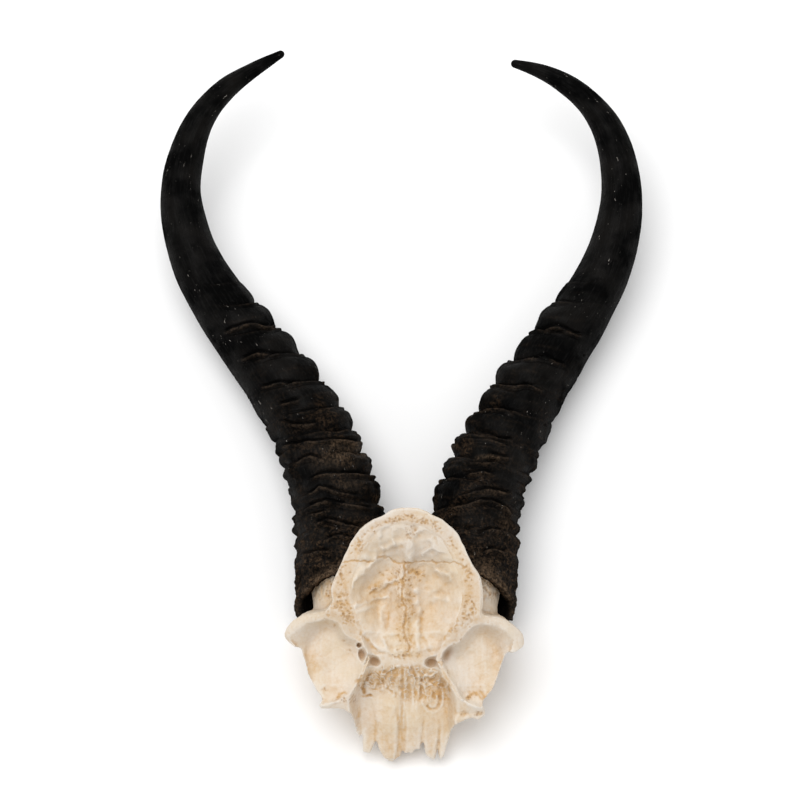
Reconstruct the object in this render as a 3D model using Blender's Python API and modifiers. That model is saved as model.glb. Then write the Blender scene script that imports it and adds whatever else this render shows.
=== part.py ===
# Springbok skull plate: the sawn-off bony top of the skull with its two horn cores,
# and the two black ringed horn sheaths that sit loosely on the cores.
#
# Shapes are worked out in millimetres in the plate's own frame: x to the right,
# y towards the crown, z towards the open inner side, with the saw cut at z = 0.
# The whole thing then lies inner side up on the nasal end and the fronts of the horns.

import math

import bmesh
import bpy
import numpy as np
from mathutils import Euler, Vector

OBJECT_NAME = "springbok_skull_plate"
MM = 0.001

# How the object lies: tilt about x, then the shift that puts the middle of the
# bounding box's underside at the origin
REST_TILT_DEG = 21.9
REST_SHIFT = (0.71, -110.3, 54.41)

# Outline of the bone seen square to the saw cut: crown, left side, left orbit,
# jagged nasal end, right orbit, right side
OUTLINE = [
    (0.0, 40.5), (-5.0, 39.5), (-8.0, 37.5), (-13.0, 35.0), (-17.0, 32.5), (-21.0, 28.5),
    (-24.0, 23.0), (-26.5, 17.5), (-28.5, 13.0), (-31.5, 5.5), (-31.5, -1.5), (-34.0, -4.5),
    (-38.5, -5.5), (-43.0, -6.5), (-46.5, -8.0), (-50.5, -11.5), (-52.0, -16.0),
    (-51.0, -18.0), (-47.0, -21.0), (-45.5, -21.5), (-44.0, -25.5), (-42.5, -30.5),
    (-41.0, -35.0), (-38.5, -40.0), (-35.5, -43.5), (-37.0, -46.0), (-36.0, -48.0),
    (-29.0, -48.0), (-26.0, -48.5), (-23.0, -50.5), (-21.5, -56.5), (-20.0, -62.0),
    (-18.5, -59.5), (-17.5, -68.5), (-14.5, -69.5), (-12.5, -64.0), (-10.5, -68.0),
    (-8.5, -71.0), (-4.5, -74.0), (-1.5, -71.0), (0.0, -67.5), (1.0, -69.5), (4.0, -69.5),
    (5.5, -67.5), (7.5, -66.5), (8.5, -63.5), (10.0, -68.5), (11.5, -71.5), (14.0, -72.5),
    (15.5, -63.5), (16.0, -71.0), (17.5, -72.5), (19.0, -66.5), (21.0, -58.0),
    (23.0, -54.5), (27.0, -52.0), (30.0, -52.0), (33.5, -53.0), (36.0, -50.5),
    (35.0, -46.0), (36.5, -42.5), (39.5, -40.0), (41.0, -36.0), (42.5, -32.0),
    (44.0, -27.5), (46.0, -23.5), (49.0, -23.0), (53.5, -19.5), (53.5, -17.5),
    (51.5, -14.0), (49.0, -11.5), (42.5, -8.0), (35.0, -6.0), (35.5, 0.0), (34.0, 9.5),
    (29.5, 17.5), (26.5, 24.0), (24.0, 29.0), (20.0, 33.0), (15.5, 36.0), (12.5, 37.5),
    (7.5, 40.0),
]

# Inner edge of the cut band round the braincase
BRAIN_EDGE = [
    (1.0, 35.5), (-7.0, 34.0), (-13.0, 31.0), (-17.5, 25.5), (-20.0, 19.0), (-21.5, 13.0),
    (-23.0, 7.5), (-23.5, 1.0), (-21.5, -4.5), (-19.0, -10.5), (-15.0, -18.0),
    (-10.5, -22.0), (0.0, -23.0), (10.0, -22.5), (14.5, -21.0), (18.0, -16.0), (22.0, -12.0),
    (25.0, -6.5), (27.0, 1.5), (26.5, 9.0), (24.5, 15.5), (21.5, 22.0), (18.0, 28.0),
    (12.5, 32.0), (7.5, 34.5),
]
# Crease inside each thick orbital rim, from the free end to the braincase
LEFT_ORBIT_CREASE = [
    (-50.5, -16.5), (-46.5, -13.0), (-42.5, -10.0), (-38.5, -8.0), (-33.5, -6.5),
    (-27.0, -8.5), (-23.5, -13.5),
]
RIGHT_ORBIT_CREASE = [
    (49.0, -17.0), (46.0, -14.0), (42.0, -11.5), (38.0, -9.5), (34.0, -9.0), (30.0, -10.0),
    (26.5, -13.0), (23.0, -16.5),
]
# Crest between each orbit and the nose, from the braincase to the tear bone
LEFT_CREST = [
    (-23.5, -13.5), (-20.0, -17.5), (-16.5, -22.0), (-16.5, -26.5), (-18.0, -32.0),
    (-20.5, -37.5), (-24.0, -41.5), (-29.0, -44.5), (-35.5, -46.0),
]
RIGHT_CREST = [
    (23.0, -16.5), (17.0, -23.0), (16.5, -26.0), (17.5, -30.0), (20.0, -34.5),
    (23.0, -39.0), (25.5, -43.0), (29.0, -45.5), (34.5, -47.5),
]
# Free lateral edge of each orbital roof
LEFT_FREE_EDGE = [(-35.5, -44.5), (-39.5, -40.0), (-42.0, -33.0), (-44.0, -26.0), (-46.5, -21.5)]
RIGHT_FREE_EDGE = [(35.5, -44.5), (40.0, -39.5), (42.5, -33.0), (44.5, -27.0), (47.0, -23.0)]

# Bony crest between the two frontal bowls, from the coronal suture to the sieve plate
MIDLINE_CREST = [
    (2.0, 37.0), (3.0, 29.0), (2.0, 20.0), (0.5, 14.0), (-0.5, 5.0), (1.0, -5.0),
    (0.5, -15.0), (2.5, -24.0),
]
# Thin scrolls and plates of the ethmoid, each with its width and height
ETHMOID_SCROLLS = [
    ([(-14.5, -32.5), (-17.5, -36.0), (-18.5, -40.0), (-16.0, -42.5), (-13.5, -41.5)], 1.0, 3.2),
    ([(-10.5, -30.0), (-11.5, -36.0), (-10.0, -43.0)], 0.9, 2.6),
    ([(-2.5, -30.0), (-1.0, -42.0), (-1.5, -52.0)], 1.0, 3.6),
    ([(4.0, -31.0), (3.5, -41.0), (3.5, -50.0)], 0.9, 2.8),
    ([(7.5, -32.0), (7.5, -42.0), (10.0, -47.0), (13.0, -48.5), (16.0, -46.5), (16.5, -38.0),
      (14.5, -33.0)], 1.1, 3.4),
]
# Rounded nasal lobes: centre, half width, half length and height
NASAL_LOBES = [
    (-7.5, -56.0, 5.4, 17.5, 5.2),
    (5.0, -57.0, 4.0, 12.0, 4.0),
    (12.2, -57.5, 3.8, 13.5, 4.8),
    (-15.6, -56.5, 3.2, 13.0, 3.6),
    (18.5, -56.0, 2.8, 11.0, 3.0),
]
# Holes through the bone: centre, half width, half length and turn in degrees
FORAMINA = [
    (-19.5, -20.0, 1.1, 1.0, 0.0),
    (-18.3, -24.2, 1.6, 2.5, 8.0),
    (-12.7, -27.5, 2.6, 2.0, -35.0),
    (12.7, -28.0, 2.8, 2.0, 20.0),
    (18.8, -24.2, 1.8, 3.6, -22.0),
    (-20.6, -35.0, 1.2, 1.4, 0.0),
    (8.4, -35.8, 1.1, 1.3, 0.0),
]
FORAMEN_DEPTH = 9.0

BRAIN_DEPTH = 12.5
BRAIN_WALL_RUN = 10.0
# The floor rises more gently towards the nose
BRAIN_RUN_Y = (-24.0, -6.0)
BRAIN_RUN_SHARE = (1.9, 1.0)
# Bowls of the front lobes and hollows of the crown: centre, half sizes and extra depth
BOWLS = [
    (-11.5, -2.0, 8.5, 12.0, 5.5),
    (14.0, -2.0, 9.0, 12.0, 5.5),
    (-8.0, 28.0, 7.0, 5.5, 2.6),
    (9.5, 27.5, 7.5, 6.0, 2.6),
]
CORONAL_SHELF_Y = 18.5
CORONAL_SHELF_RUN = 9.0
CORONAL_SHELF_RISE = 2.4
MIDLINE_CREST_RISE = 4.0
MIDLINE_CREST_WIDTH = 4.0
ORBIT_DEPTH = 11.5
ORBIT_RIM_DROP = 3.5
ORBIT_RIM_RUN = 6.5
ORBIT_WALL_RUN = 13.0

# Depth of the top of the bone along the midline, from the sieve plate to the nasal tips
NOSE_Y = (-76.0, -68.0, -60.0, -52.0, -44.0, -36.0, -31.0, -26.0, -21.0, -17.0)
NOSE_Z = (-25.0, -23.5, -20.5, -16.5, -12.5, -10.5, -7.5, -5.0, -3.5, -1.5)
# The bridge behind the sieve plate is bowed towards the nose by this much
BRIDGE_BOW = 4.0
BRIDGE_HALF_WIDTH = 14.0
# Half width between the two crests along the same stretch
NOSE_WIDTH_Y = (-64.0, -54.0, -46.0, -42.5, -38.5, -34.0, -26.0, -16.5)
NOSE_HALF_WIDTH = (26.0, 24.0, 24.5, 24.0, 22.5, 19.5, 16.5, 21.0)
# Spongy lips below the orbits, and how far they lie under the saw cut
LIP_Y = (-50.0, -38.0)
LIP_Z = (-7.0, 0.0)

# Outer side: domes over the braincase, the nose and the two orbits
DOMES = [
    (0.5, -4.0, 35.0, 46.0, 23.0),
    (0.5, -24.0, 27.0, 60.0, 37.0),
    (0.5, -46.0, 25.0, 42.0, 34.5),
    (-33.0, -25.0, 25.0, 26.0, 18.0),
    (34.0, -26.0, 25.0, 26.0, 18.0),
    (-27.0, -4.0, 20.0, 23.0, 44.0),
    (29.0, -4.0, 20.0, 23.0, 44.0),
]
DOME_SQUARENESS = 2.4
BONE_THICKNESS = 3.4
ORBIT_THICKNESS = 2.4
INNER_GRID_STEP = 1.3
OUTER_GRID_STEP = 3.0
BONE_VOXEL = 1.0
PLATE_TRIANGLE_SHARE = 0.029
# How far the uncut bone stands above the saw cut before it is sawn
SAW_WASTE = 3.0

# Horn axes seen square to the saw cut, base to tip: x, y and half width
LEFT_HORN = [
    (-29.0, 2.0, 19.6), (-28.5, 16.0, 19.6), (-29.5, 36.0, 19.5), (-33.8, 51.5, 18.5),
    (-42.8, 74.0, 16.9), (-55.0, 92.5, 16.1), (-69.0, 111.0, 14.9), (-83.0, 130.0, 13.9),
    (-94.5, 148.5, 12.6), (-101.5, 167.5, 11.1), (-104.0, 186.0, 9.8), (-101.0, 205.0, 8.5),
    (-95.5, 219.5, 7.1), (-84.0, 234.0, 5.7), (-71.5, 243.5, 4.1), (-63.0, 249.0, 2.9),
    (-56.5, 253.0, 1.5),
]
RIGHT_HORN = [
    (32.0, 2.0, 19.2), (32.5, 16.0, 19.2), (33.5, 36.0, 19.1), (37.9, 51.5, 18.1),
    (47.5, 71.5, 16.6), (58.7, 91.0, 15.5), (71.0, 109.5, 14.7), (83.0, 128.0, 13.6),
    (93.5, 146.5, 12.5), (100.0, 165.5, 11.1), (102.5, 185.5, 9.8), (100.0, 204.0, 8.6),
    (94.5, 218.5, 7.4), (84.0, 231.5, 6.0), (72.0, 240.0, 4.6), (61.0, 245.0, 3.3),
    (51.5, 248.0, 1.6),
]
HORN_BASE_Z = -34.0
# Slope of the axes away from the inner side, in degrees, along the length
SLOPE_AT = (0.0, 40.0, 80.0, 110.0, 140.0, 170.0, 200.0, 240.0, 270.0, 300.0)
SLOPE_DEG = (18.5, 23.5, 25.0, 21.0, 14.0, 9.0, 7.0, 9.0, 15.0, 22.0)
# The horn is deeper front to back than it is wide, and round at the tip
DEPTH_RATIO_AT = (0.0, 120.0, 220.0)
DEPTH_RATIO = (1.12, 1.06, 1.0)

# Valleys between the rings, along the length, base to tip
LEFT_VALLEYS = (5.0, 14.0, 26.0, 39.0, 53.0, 64.5, 77.5, 89.5, 106.0, 122.5, 139.0, 156.0, 168.0)
RIGHT_VALLEYS = (5.0, 14.0, 25.0, 37.0, 51.5, 62.0, 74.5, 89.0, 105.0, 120.0, 137.5, 154.5, 167.0)
RING_APEX = 0.3
RING_HEIGHT_AT = (0.0, 20.0, 45.0, 70.0, 95.0, 125.0, 148.0, 162.0)
RING_HEIGHT = (0.5, 1.4, 2.6, 3.6, 4.5, 4.3, 3.6, 1.3)
# Share of a ring's height on the front and, near the base, on the outer side
RING_FRONT_SHARE = 0.45
RING_SIDE_SHARE = 0.4
RING_SIDE_END = 115.0
RING_STEP = 3.4
# Lean of the rings: how much further along the side that faces the inner side they run
RING_LEAN_AT = (0.0, 60.0, 120.0)
RING_LEAN_DEG = (12.0, 4.0, 0.0)
# Tilt of the rings across the axis, higher on the outer side; the rim is lower there
RING_TILT_AT = (0.0, 20.0, 60.0, 110.0, 170.0, 230.0)
RING_TILT_DEG = (-26.0, 0.0, 10.0, 29.0, 29.0, 0.0)
SMOOTH_STEP = 9.5
HORN_SEGMENTS = 16

POCKET_STEP = 14.0
POCKET_STEPS = 12
POCKET_WALL = 2.6
POCKET_CLOSING = 7.5
SHEATH_ROOM = 1.2
SHEATH_ROOM_AT = (-1.8, 12.0, 20.0, 30.0, 40.0, 50.0, 60.0)
CORE_STEPS = 11
CORE_START = -24.0
CORE_CLEARANCE = 1.3
CORE_ROOT_STEP = 6.0
CORE_TIP = 4.0
CORE_NECK_SHIFT = 1.6
CORE_NECK_WIDTH = 0.8
CORE_NECK_END = 26.0


def remove_all_objects():
    for item in list(bpy.data.objects):
        bpy.data.objects.remove(item, do_unlink=True)


def make_material(name, colour, roughness):
    material = bpy.data.materials.new(name)
    material.use_nodes = True
    shader = material.node_tree.nodes["Principled BSDF"]
    shader.inputs["Base Color"].default_value = (*colour, 1.0)
    shader.inputs["Roughness"].default_value = roughness
    shader.inputs["Metallic"].default_value = 0.0
    return material


def bone_material():
    return make_material("bone", (0.76, 0.66, 0.50), 0.75)


def horn_material(name):
    return make_material(name, (0.020, 0.017, 0.015), 0.5)


# Numbers used by the surfaces

def smooth_step(value):
    t = np.clip(value, 0.0, 1.0)
    return t * t * (3.0 - 2.0 * t)


def bowl_profile(value):
    # quarter ellipse: vertical at 0, level from 1 on
    t = np.clip(value, 0.0, 1.0)
    return np.sqrt(1.0 - (1.0 - t) ** 2)


def soft_max(first, second, width):
    gap = np.clip(1.0 - np.abs(first - second) / width, 0.0, 1.0)
    return np.maximum(first, second) + gap * gap * width * 0.25


def distance_to_line(x, y, points, closed=False):
    pairs = list(zip(points[:-1], points[1:]))
    if closed:
        pairs.append((points[-1], points[0]))
    best = np.full(x.shape, 1e6)
    for (ax, ay), (bx, by) in pairs:
        ux, uy = bx - ax, by - ay
        along = np.clip(((x - ax) * ux + (y - ay) * uy) / (ux * ux + uy * uy), 0.0, 1.0)
        best = np.minimum(best, np.hypot(x - ax - along * ux, y - ay - along * uy))
    return best


def inside_outline(x, y, points):
    inside = np.zeros(x.shape, dtype=bool)
    for (ax, ay), (bx, by) in zip(points, points[1:] + points[:1]):
        if ay == by:
            continue
        crosses = (ay > y) != (by > y)
        inside ^= crosses & (x < (bx - ax) * (y - ay) / (by - ay) + ax)
    return inside


def depth_inside(x, y, points):
    return np.where(inside_outline(x, y, points), distance_to_line(x, y, points, True), 0.0)


def soft_bump(x, y, centre_x, centre_y, half_x, half_y):
    return np.exp(-(((x - centre_x) / half_x) ** 2 + ((y - centre_y) / half_y) ** 2))


def dome(x, y, centre_x, centre_y, half_x, half_y, height):
    reach = (np.abs((x - centre_x) / half_x) ** DOME_SQUARENESS
             + np.abs((y - centre_y) / half_y) ** DOME_SQUARENESS)
    return height * np.clip(1.0 - reach, 0.0, 1.0) ** (1.0 / DOME_SQUARENESS)


# The plate's two sides, as depths below the saw cut

def braincase_depth(x, y):
    run = BRAIN_WALL_RUN * np.interp(y, BRAIN_RUN_Y, BRAIN_RUN_SHARE)
    depth = BRAIN_DEPTH * bowl_profile(depth_inside(x, y, BRAIN_EDGE) / run)
    share = depth / BRAIN_DEPTH
    for centre_x, centre_y, half_x, half_y, extra in BOWLS:
        depth = depth + share * extra * soft_bump(x, y, centre_x, centre_y, half_x, half_y)
    crest = np.exp(-(distance_to_line(x, y, MIDLINE_CREST) / MIDLINE_CREST_WIDTH) ** 2)
    depth = depth - share * crest * MIDLINE_CREST_RISE
    crown_side = smooth_step((y - CORONAL_SHELF_Y + 0.25 * np.abs(x)) / CORONAL_SHELF_RUN + 0.5)
    return depth - share * crown_side * CORONAL_SHELF_RISE


def orbit_depth(x, y, crease, crest, free_edge):
    outline = crease + crest[1:] + free_edge
    inner = inside_outline(x, y, outline)
    from_rim = bowl_profile(distance_to_line(x, y, crease) / ORBIT_RIM_RUN)
    from_walls = bowl_profile(distance_to_line(x, y, crest) / ORBIT_WALL_RUN)
    from_edge = bowl_profile(distance_to_line(x, y, free_edge) / ORBIT_WALL_RUN)
    return np.where(inner, ORBIT_DEPTH * from_rim * from_walls * (0.35 + 0.65 * from_edge), 0.0)


def nose_weight(x, y):
    half_width = np.interp(y, NOSE_WIDTH_Y, NOSE_HALF_WIDTH)
    return smooth_step((half_width - np.abs(x)) / 5.0)


def top_height(x, y):
    # the bone's upper level before the hollows are sunk in it
    rim = SAW_WASTE + np.interp(y, LIP_Y, LIP_Z)
    bow = BRIDGE_BOW * np.clip(1.0 - (x / BRIDGE_HALF_WIDTH) ** 2, 0.0, 1.0)
    height = rim + (np.interp(y + bow, NOSE_Y, NOSE_Z) - rim) * nose_weight(x, y)
    side = np.clip((np.abs(x) - 35.0) / 8.0, 0.0, 1.0)
    height = height - ORBIT_RIM_DROP * smooth_step(side) - 0.08 * np.clip(np.abs(x) - 43.0, 0.0, 20.0)
    for points, width, rise in ETHMOID_SCROLLS:
        height = height + rise * np.exp(-(distance_to_line(x, y, points) / width) ** 2)
    for centre_x, centre_y, half_x, half_y, rise in NASAL_LOBES:
        reach = ((x - centre_x) / half_x) ** 2 + np.abs((y - centre_y) / half_y) ** 4
        height = height + rise * np.sqrt(np.clip(1.0 - reach, 0.0, 1.0))
    return height


def inner_height(x, y):
    hollows = braincase_depth(x, y)
    hollows = hollows + orbit_depth(x, y, LEFT_ORBIT_CREASE, LEFT_CREST, LEFT_FREE_EDGE)
    hollows = hollows + orbit_depth(x, y, RIGHT_ORBIT_CREASE, RIGHT_CREST, RIGHT_FREE_EDGE)
    return top_height(x, y) - hollows


def outer_height(x, y):
    depth = np.zeros(x.shape)
    for item in DOMES:
        depth = soft_max(depth, dome(x, y, *item), 4.0)
    orbit_share = smooth_step((np.abs(x) - 26.0) / 8.0)
    thickness = BONE_THICKNESS + (ORBIT_THICKNESS - BONE_THICKNESS) * orbit_share
    return -soft_max(depth, thickness - inner_height(x, y), 2.0)


# Building helpers

def new_mesh_object(name, bm, collection, material=None):
    mesh = bpy.data.meshes.new(name)
    bm.to_mesh(mesh)
    bm.free()
    item = bpy.data.objects.new(name, mesh)
    collection.objects.link(item)
    if material:
        mesh.materials.append(material)
    return item


def hide_as_cutter(item):
    item.hide_render = True
    item.display_type = "WIRE"


def height_block(name, collection, height_of, step, far_height):
    # a block whose one side follows a height formula and whose other side is level
    low_x, high_x, low_y, high_y = -60.0, 60.0, -80.0, 48.0
    bm = bmesh.new()
    columns = round((high_x - low_x) / step)
    rows = round((high_y - low_y) / step)
    bmesh.ops.create_grid(bm, x_segments=columns, y_segments=rows, size=0.5)
    sheet = list(bm.verts)
    x = np.array([(vert.co.x + 0.5) * (high_x - low_x) + low_x for vert in sheet])
    y = np.array([(vert.co.y + 0.5) * (high_y - low_y) + low_y for vert in sheet])
    z = height_of(x, y)
    for vert, vx, vy, vz in zip(sheet, x, y, z):
        vert.co = Vector((vx, vy, vz)) * MM
    extruded = bmesh.ops.extrude_face_region(bm, geom=bm.faces[:])
    for part in extruded["geom"]:
        if isinstance(part, bmesh.types.BMVert):
            part.co.z = far_height * MM
    bmesh.ops.recalc_face_normals(bm, faces=bm.faces[:])
    return new_mesh_object(name, bm, collection)


def outline_prism(name, collection, points, low, high):
    curve = bpy.data.curves.new(name, "CURVE")
    curve.dimensions = "2D"
    curve.fill_mode = "BOTH"
    curve.extrude = 0.5 * (high - low) * MM
    spline = curve.splines.new("POLY")
    spline.points.add(len(points) - 1)
    for point, (x, y) in zip(spline.points, points):
        point.co = (x * MM, y * MM, 0.0, 1.0)
    spline.use_cyclic_u = True
    flat = bpy.data.objects.new(name, curve)
    flat.location.z = 0.5 * (high + low) * MM
    collection.objects.link(flat)
    bpy.context.view_layer.update()
    shape = flat.evaluated_get(bpy.context.evaluated_depsgraph_get())
    mesh = bpy.data.meshes.new_from_object(shape)
    bm = bmesh.new()
    bm.from_mesh(mesh)
    bmesh.ops.remove_doubles(bm, verts=bm.verts[:], dist=0.00001)
    bmesh.ops.recalc_face_normals(bm, faces=bm.faces[:])
    bm.to_mesh(mesh)
    bm.free()
    item = bpy.data.objects.new(name + "_prism", mesh)
    item.matrix_world = flat.matrix_world.copy()
    bpy.data.objects.remove(flat, do_unlink=True)
    collection.objects.link(item)
    hide_as_cutter(item)
    return item


def add_boolean(item, tool, operation, solver="EXACT"):
    modifier = item.modifiers.new(tool.name, "BOOLEAN")
    modifier.operation = operation
    modifier.object = tool
    modifier.solver = solver


def loft(name, sections, collection, material=None):
    # skin over a row of closed sections with the same number of points, ends closed
    bm = bmesh.new()
    rings = [[bm.verts.new(Vector(point) * MM) for point in section] for section in sections]
    count = len(rings[0])
    for ring, following in zip(rings[:-1], rings[1:]):
        for i in range(count):
            j = (i + 1) % count
            bm.faces.new((ring[i], ring[j], following[j], following[i]))
    bm.faces.new(rings[0])
    bm.faces.new(rings[-1])
    bmesh.ops.recalc_face_normals(bm, faces=bm.faces[:])
    return new_mesh_object(name, bm, collection, material)


# The horns

def smooth_through(values, places, wanted):
    # cubic through the values, with slopes from the neighbours on each side
    slopes = np.gradient(values, places)
    k = np.clip(np.searchsorted(places, wanted) - 1, 0, len(places) - 2)
    span = places[k + 1] - places[k]
    t = (wanted - places[k]) / span
    keep = (1.0 + 2.0 * t) * (1.0 - t) ** 2
    take = t * t * (3.0 - 2.0 * t)
    leave = t * (1.0 - t) ** 2 * span
    arrive = t * t * (t - 1.0) * span
    return keep * values[k] + take * values[k + 1] + leave * slopes[k] + arrive * slopes[k + 1]


class HornAxis:
    def __init__(self, stations, valleys, side):
        points = np.array(stations)
        run = np.concatenate(([0.0], np.cumsum(np.hypot(*np.diff(points[:, :2], axis=0).T))))
        fine = np.linspace(0.0, run[-1], 600)
        x = smooth_through(points[:, 0], run, fine)
        y = smooth_through(points[:, 1], run, fine)
        flat_step = np.hypot(np.diff(x), np.diff(y))
        length = [0.0]
        depth = [HORN_BASE_Z]
        for step in flat_step:
            slope = math.radians(np.interp(length[-1], SLOPE_AT, SLOPE_DEG))
            length.append(length[-1] + step / math.cos(slope))
            depth.append(depth[-1] - step * math.tan(slope))
        self.side = side
        self.valleys = valleys
        self.length = np.array(length)
        self.track = np.column_stack((x, y, depth))
        self.half_width = smooth_through(points[:, 2], run, fine)
        self.total = length[-1]

    def centre(self, s):
        # runs straight on below the base
        point = np.array([np.interp(s, self.length, self.track[:, k]) for k in range(3)])
        if s < 0.0:
            point = point + s * self.direction(0.0)
        return point

    def direction(self, s):
        reach = 3.0
        low = min(max(s - reach, 0.0), self.total - 2.0 * reach)
        ends = [
            np.array([np.interp(q, self.length, self.track[:, k]) for k in range(3)])
            for q in (low, low + 2.0 * reach)
        ]
        along = ends[1] - ends[0]
        return along / np.linalg.norm(along)

    def frame(self, s):
        along = self.direction(s)
        outward = np.cross(along, (0.0, 0.0, 1.0)) * self.side
        outward = outward / np.linalg.norm(outward)
        towards_inner = np.cross(outward, along) * self.side
        return outward, towards_inner

    def radius(self, s):
        return float(np.interp(s, self.length, self.half_width))


def ring_relief(valleys, q, angle):
    # angle 0 is the outer side, 90 the side that faces the inner side, 180 the
    # side towards the other horn, 270 the front
    if not valleys[0] <= q < valleys[-1]:
        return 0.0
    k = int(np.searchsorted(valleys, q, side="right")) - 1
    down = (valleys[k + 1] - q) / (valleys[k + 1] - valleys[k])
    if down < RING_APEX:
        saw = smooth_step(down / RING_APEX)
    else:
        saw = (1.0 - (down - RING_APEX) / (1.0 - RING_APEX)) ** 1.2
    medial = (0.5 - 0.5 * math.cos(angle)) ** 1.5
    front = RING_FRONT_SHARE * max(0.0, -math.sin(angle))
    side = RING_SIDE_SHARE * max(0.0, math.cos(angle))
    side *= smooth_step((RING_SIDE_END - q) / 30.0)
    return np.interp(q, RING_HEIGHT_AT, RING_HEIGHT) * saw * min(1.0, medial + front + side)


def sheath_stations(valleys, total):
    stations = [0.0]
    marks = [0.0, *valleys]
    for low, high in zip(marks[:-1], marks[1:]):
        parts = max(2, round((high - low) / RING_STEP))
        stations += [low + (high - low) * (k + 1) / parts for k in range(parts)]
    smooth_part = total - 1.0 - marks[-1]
    parts = round(smooth_part / SMOOTH_STEP)
    stations += [marks[-1] + smooth_part * (k + 1) / parts for k in range(parts)]
    return stations


def ragged_rim(angle):
    # how far the worn lower edge of a sheath stands from a square cut
    return 0.8 * math.sin(3.0 * angle + 0.6) + 0.5 * math.sin(7.0 * angle)


def sheath_section(axis, q, grow, with_rings):
    tilt = math.tan(math.radians(np.interp(q, RING_TILT_AT, RING_TILT_DEG)))
    lean = math.tan(math.radians(np.interp(q, RING_LEAN_AT, RING_LEAN_DEG)))
    points = []
    for k in range(HORN_SEGMENTS):
        angle = 2.0 * math.pi * k / HORN_SEGMENTS
        s = q
        if with_rings or q <= 0.0:
            s += axis.radius(q) * (tilt * math.cos(angle) + lean * math.sin(angle))
        if q <= 0.0:
            s += ragged_rim(angle)
        s = min(s, axis.total - 0.3)
        radius = axis.radius(s) + grow
        if with_rings:
            radius += ring_relief(axis.valleys, q, angle)
        deep = radius * np.interp(s, DEPTH_RATIO_AT, DEPTH_RATIO)
        outward, inner = axis.frame(s)
        points.append(axis.centre(s) + radius * math.cos(angle) * outward
                      + deep * math.sin(angle) * inner)
    return points


def horn_sheath(name, axis, collection):
    # pocket from its closed end down to the rim, then the outside up to the tip
    sections = []
    for k in range(POCKET_STEPS, -1, -1):
        s = POCKET_STEP * k
        sections.append(sheath_section(axis, s, -pocket_wall(s), False))
    for q in sheath_stations(axis.valleys, axis.total):
        sections.append(sheath_section(axis, q, 0.0, True))
    return loft(name, sections, collection, horn_material(name + "_keratin"))


def sheath_room(name, axis, collection):
    # the space that a sheath takes up beside the skull, with room to spare
    sections = []
    for s in SHEATH_ROOM_AT:
        room = SHEATH_ROOM + np.interp(s, RING_HEIGHT_AT, RING_HEIGHT)
        sections.append(sheath_section(axis, s, room, False))
    item = loft(name, sections, collection)
    hide_as_cutter(item)
    return item


def pocket_wall(s):
    # the wall thickens from the rim to the closed end of the pocket
    return POCKET_WALL + POCKET_CLOSING * (s / (POCKET_STEP * POCKET_STEPS)) ** 2.5


def core_section(axis, s):
    widest = axis.radius(max(s, 0.0)) - pocket_wall(max(s, 0.0)) - CORE_CLEARANCE
    neck = 1.0 - smooth_step((s + 4.0) / (CORE_NECK_END + 4.0))
    width = widest * (1.0 - (1.0 - CORE_NECK_WIDTH) * neck)
    deep = widest * (1.0 - 0.12 * neck) * np.interp(s, DEPTH_RATIO_AT, DEPTH_RATIO)
    root = smooth_step((s - CORE_START + 2.0) / 16.0)
    outward, inner = axis.frame(s)
    middle = axis.centre(s) - outward * CORE_NECK_SHIFT * neck
    points = []
    for k in range(HORN_SEGMENTS):
        angle = 2.0 * math.pi * k / HORN_SEGMENTS
        points.append(middle + root * (width * math.cos(angle) * outward
                                       + deep * math.sin(angle) * inner))
    return points


def horn_core(name, axis, collection):
    roots = round(-CORE_START / CORE_ROOT_STEP)
    stations = [CORE_START + CORE_ROOT_STEP * k for k in range(roots)]
    stations += [POCKET_STEP * k for k in range(CORE_STEPS + 1)]
    sections = [core_section(axis, s) for s in stations]
    tip = np.mean(sections[-1], axis=0)
    reach = CORE_TIP * axis.direction(stations[-1])
    sections.append([0.4 * tip + 0.6 * point + reach for point in sections[-1]])
    item = loft(name, sections, collection)
    hide_as_cutter(item)
    return item


# The plate

def foramen_cutter(index, collection, item):
    centre_x, centre_y, half_x, half_y, turn = item
    bm = bmesh.new()
    bmesh.ops.create_cone(bm, cap_ends=True, segments=10, radius1=0.75, radius2=1.0, depth=1.0)
    cutter = new_mesh_object(f"foramen_cutter_{index}", bm, collection)
    level = float(inner_height(np.array([centre_x]), np.array([centre_y]))[0])
    bottom = level - FORAMEN_DEPTH
    cutter.location = (centre_x * MM, centre_y * MM, 0.5 * (bottom + 4.0) * MM)
    cutter.scale = (half_x * MM, half_y * MM, (4.0 - bottom) * MM)
    cutter.rotation_euler.z = math.radians(turn)
    hide_as_cutter(cutter)
    return cutter


def saw_cutter(collection):
    bm = bmesh.new()
    bmesh.ops.create_cube(bm, size=1.0)
    cutter = new_mesh_object("saw_cutter", bm, collection)
    cutter.scale = (200.0 * MM, 200.0 * MM, 40.0 * MM)
    cutter.location = (0.0, 0.0, 20.0 * MM)
    hide_as_cutter(cutter)
    return cutter


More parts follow.
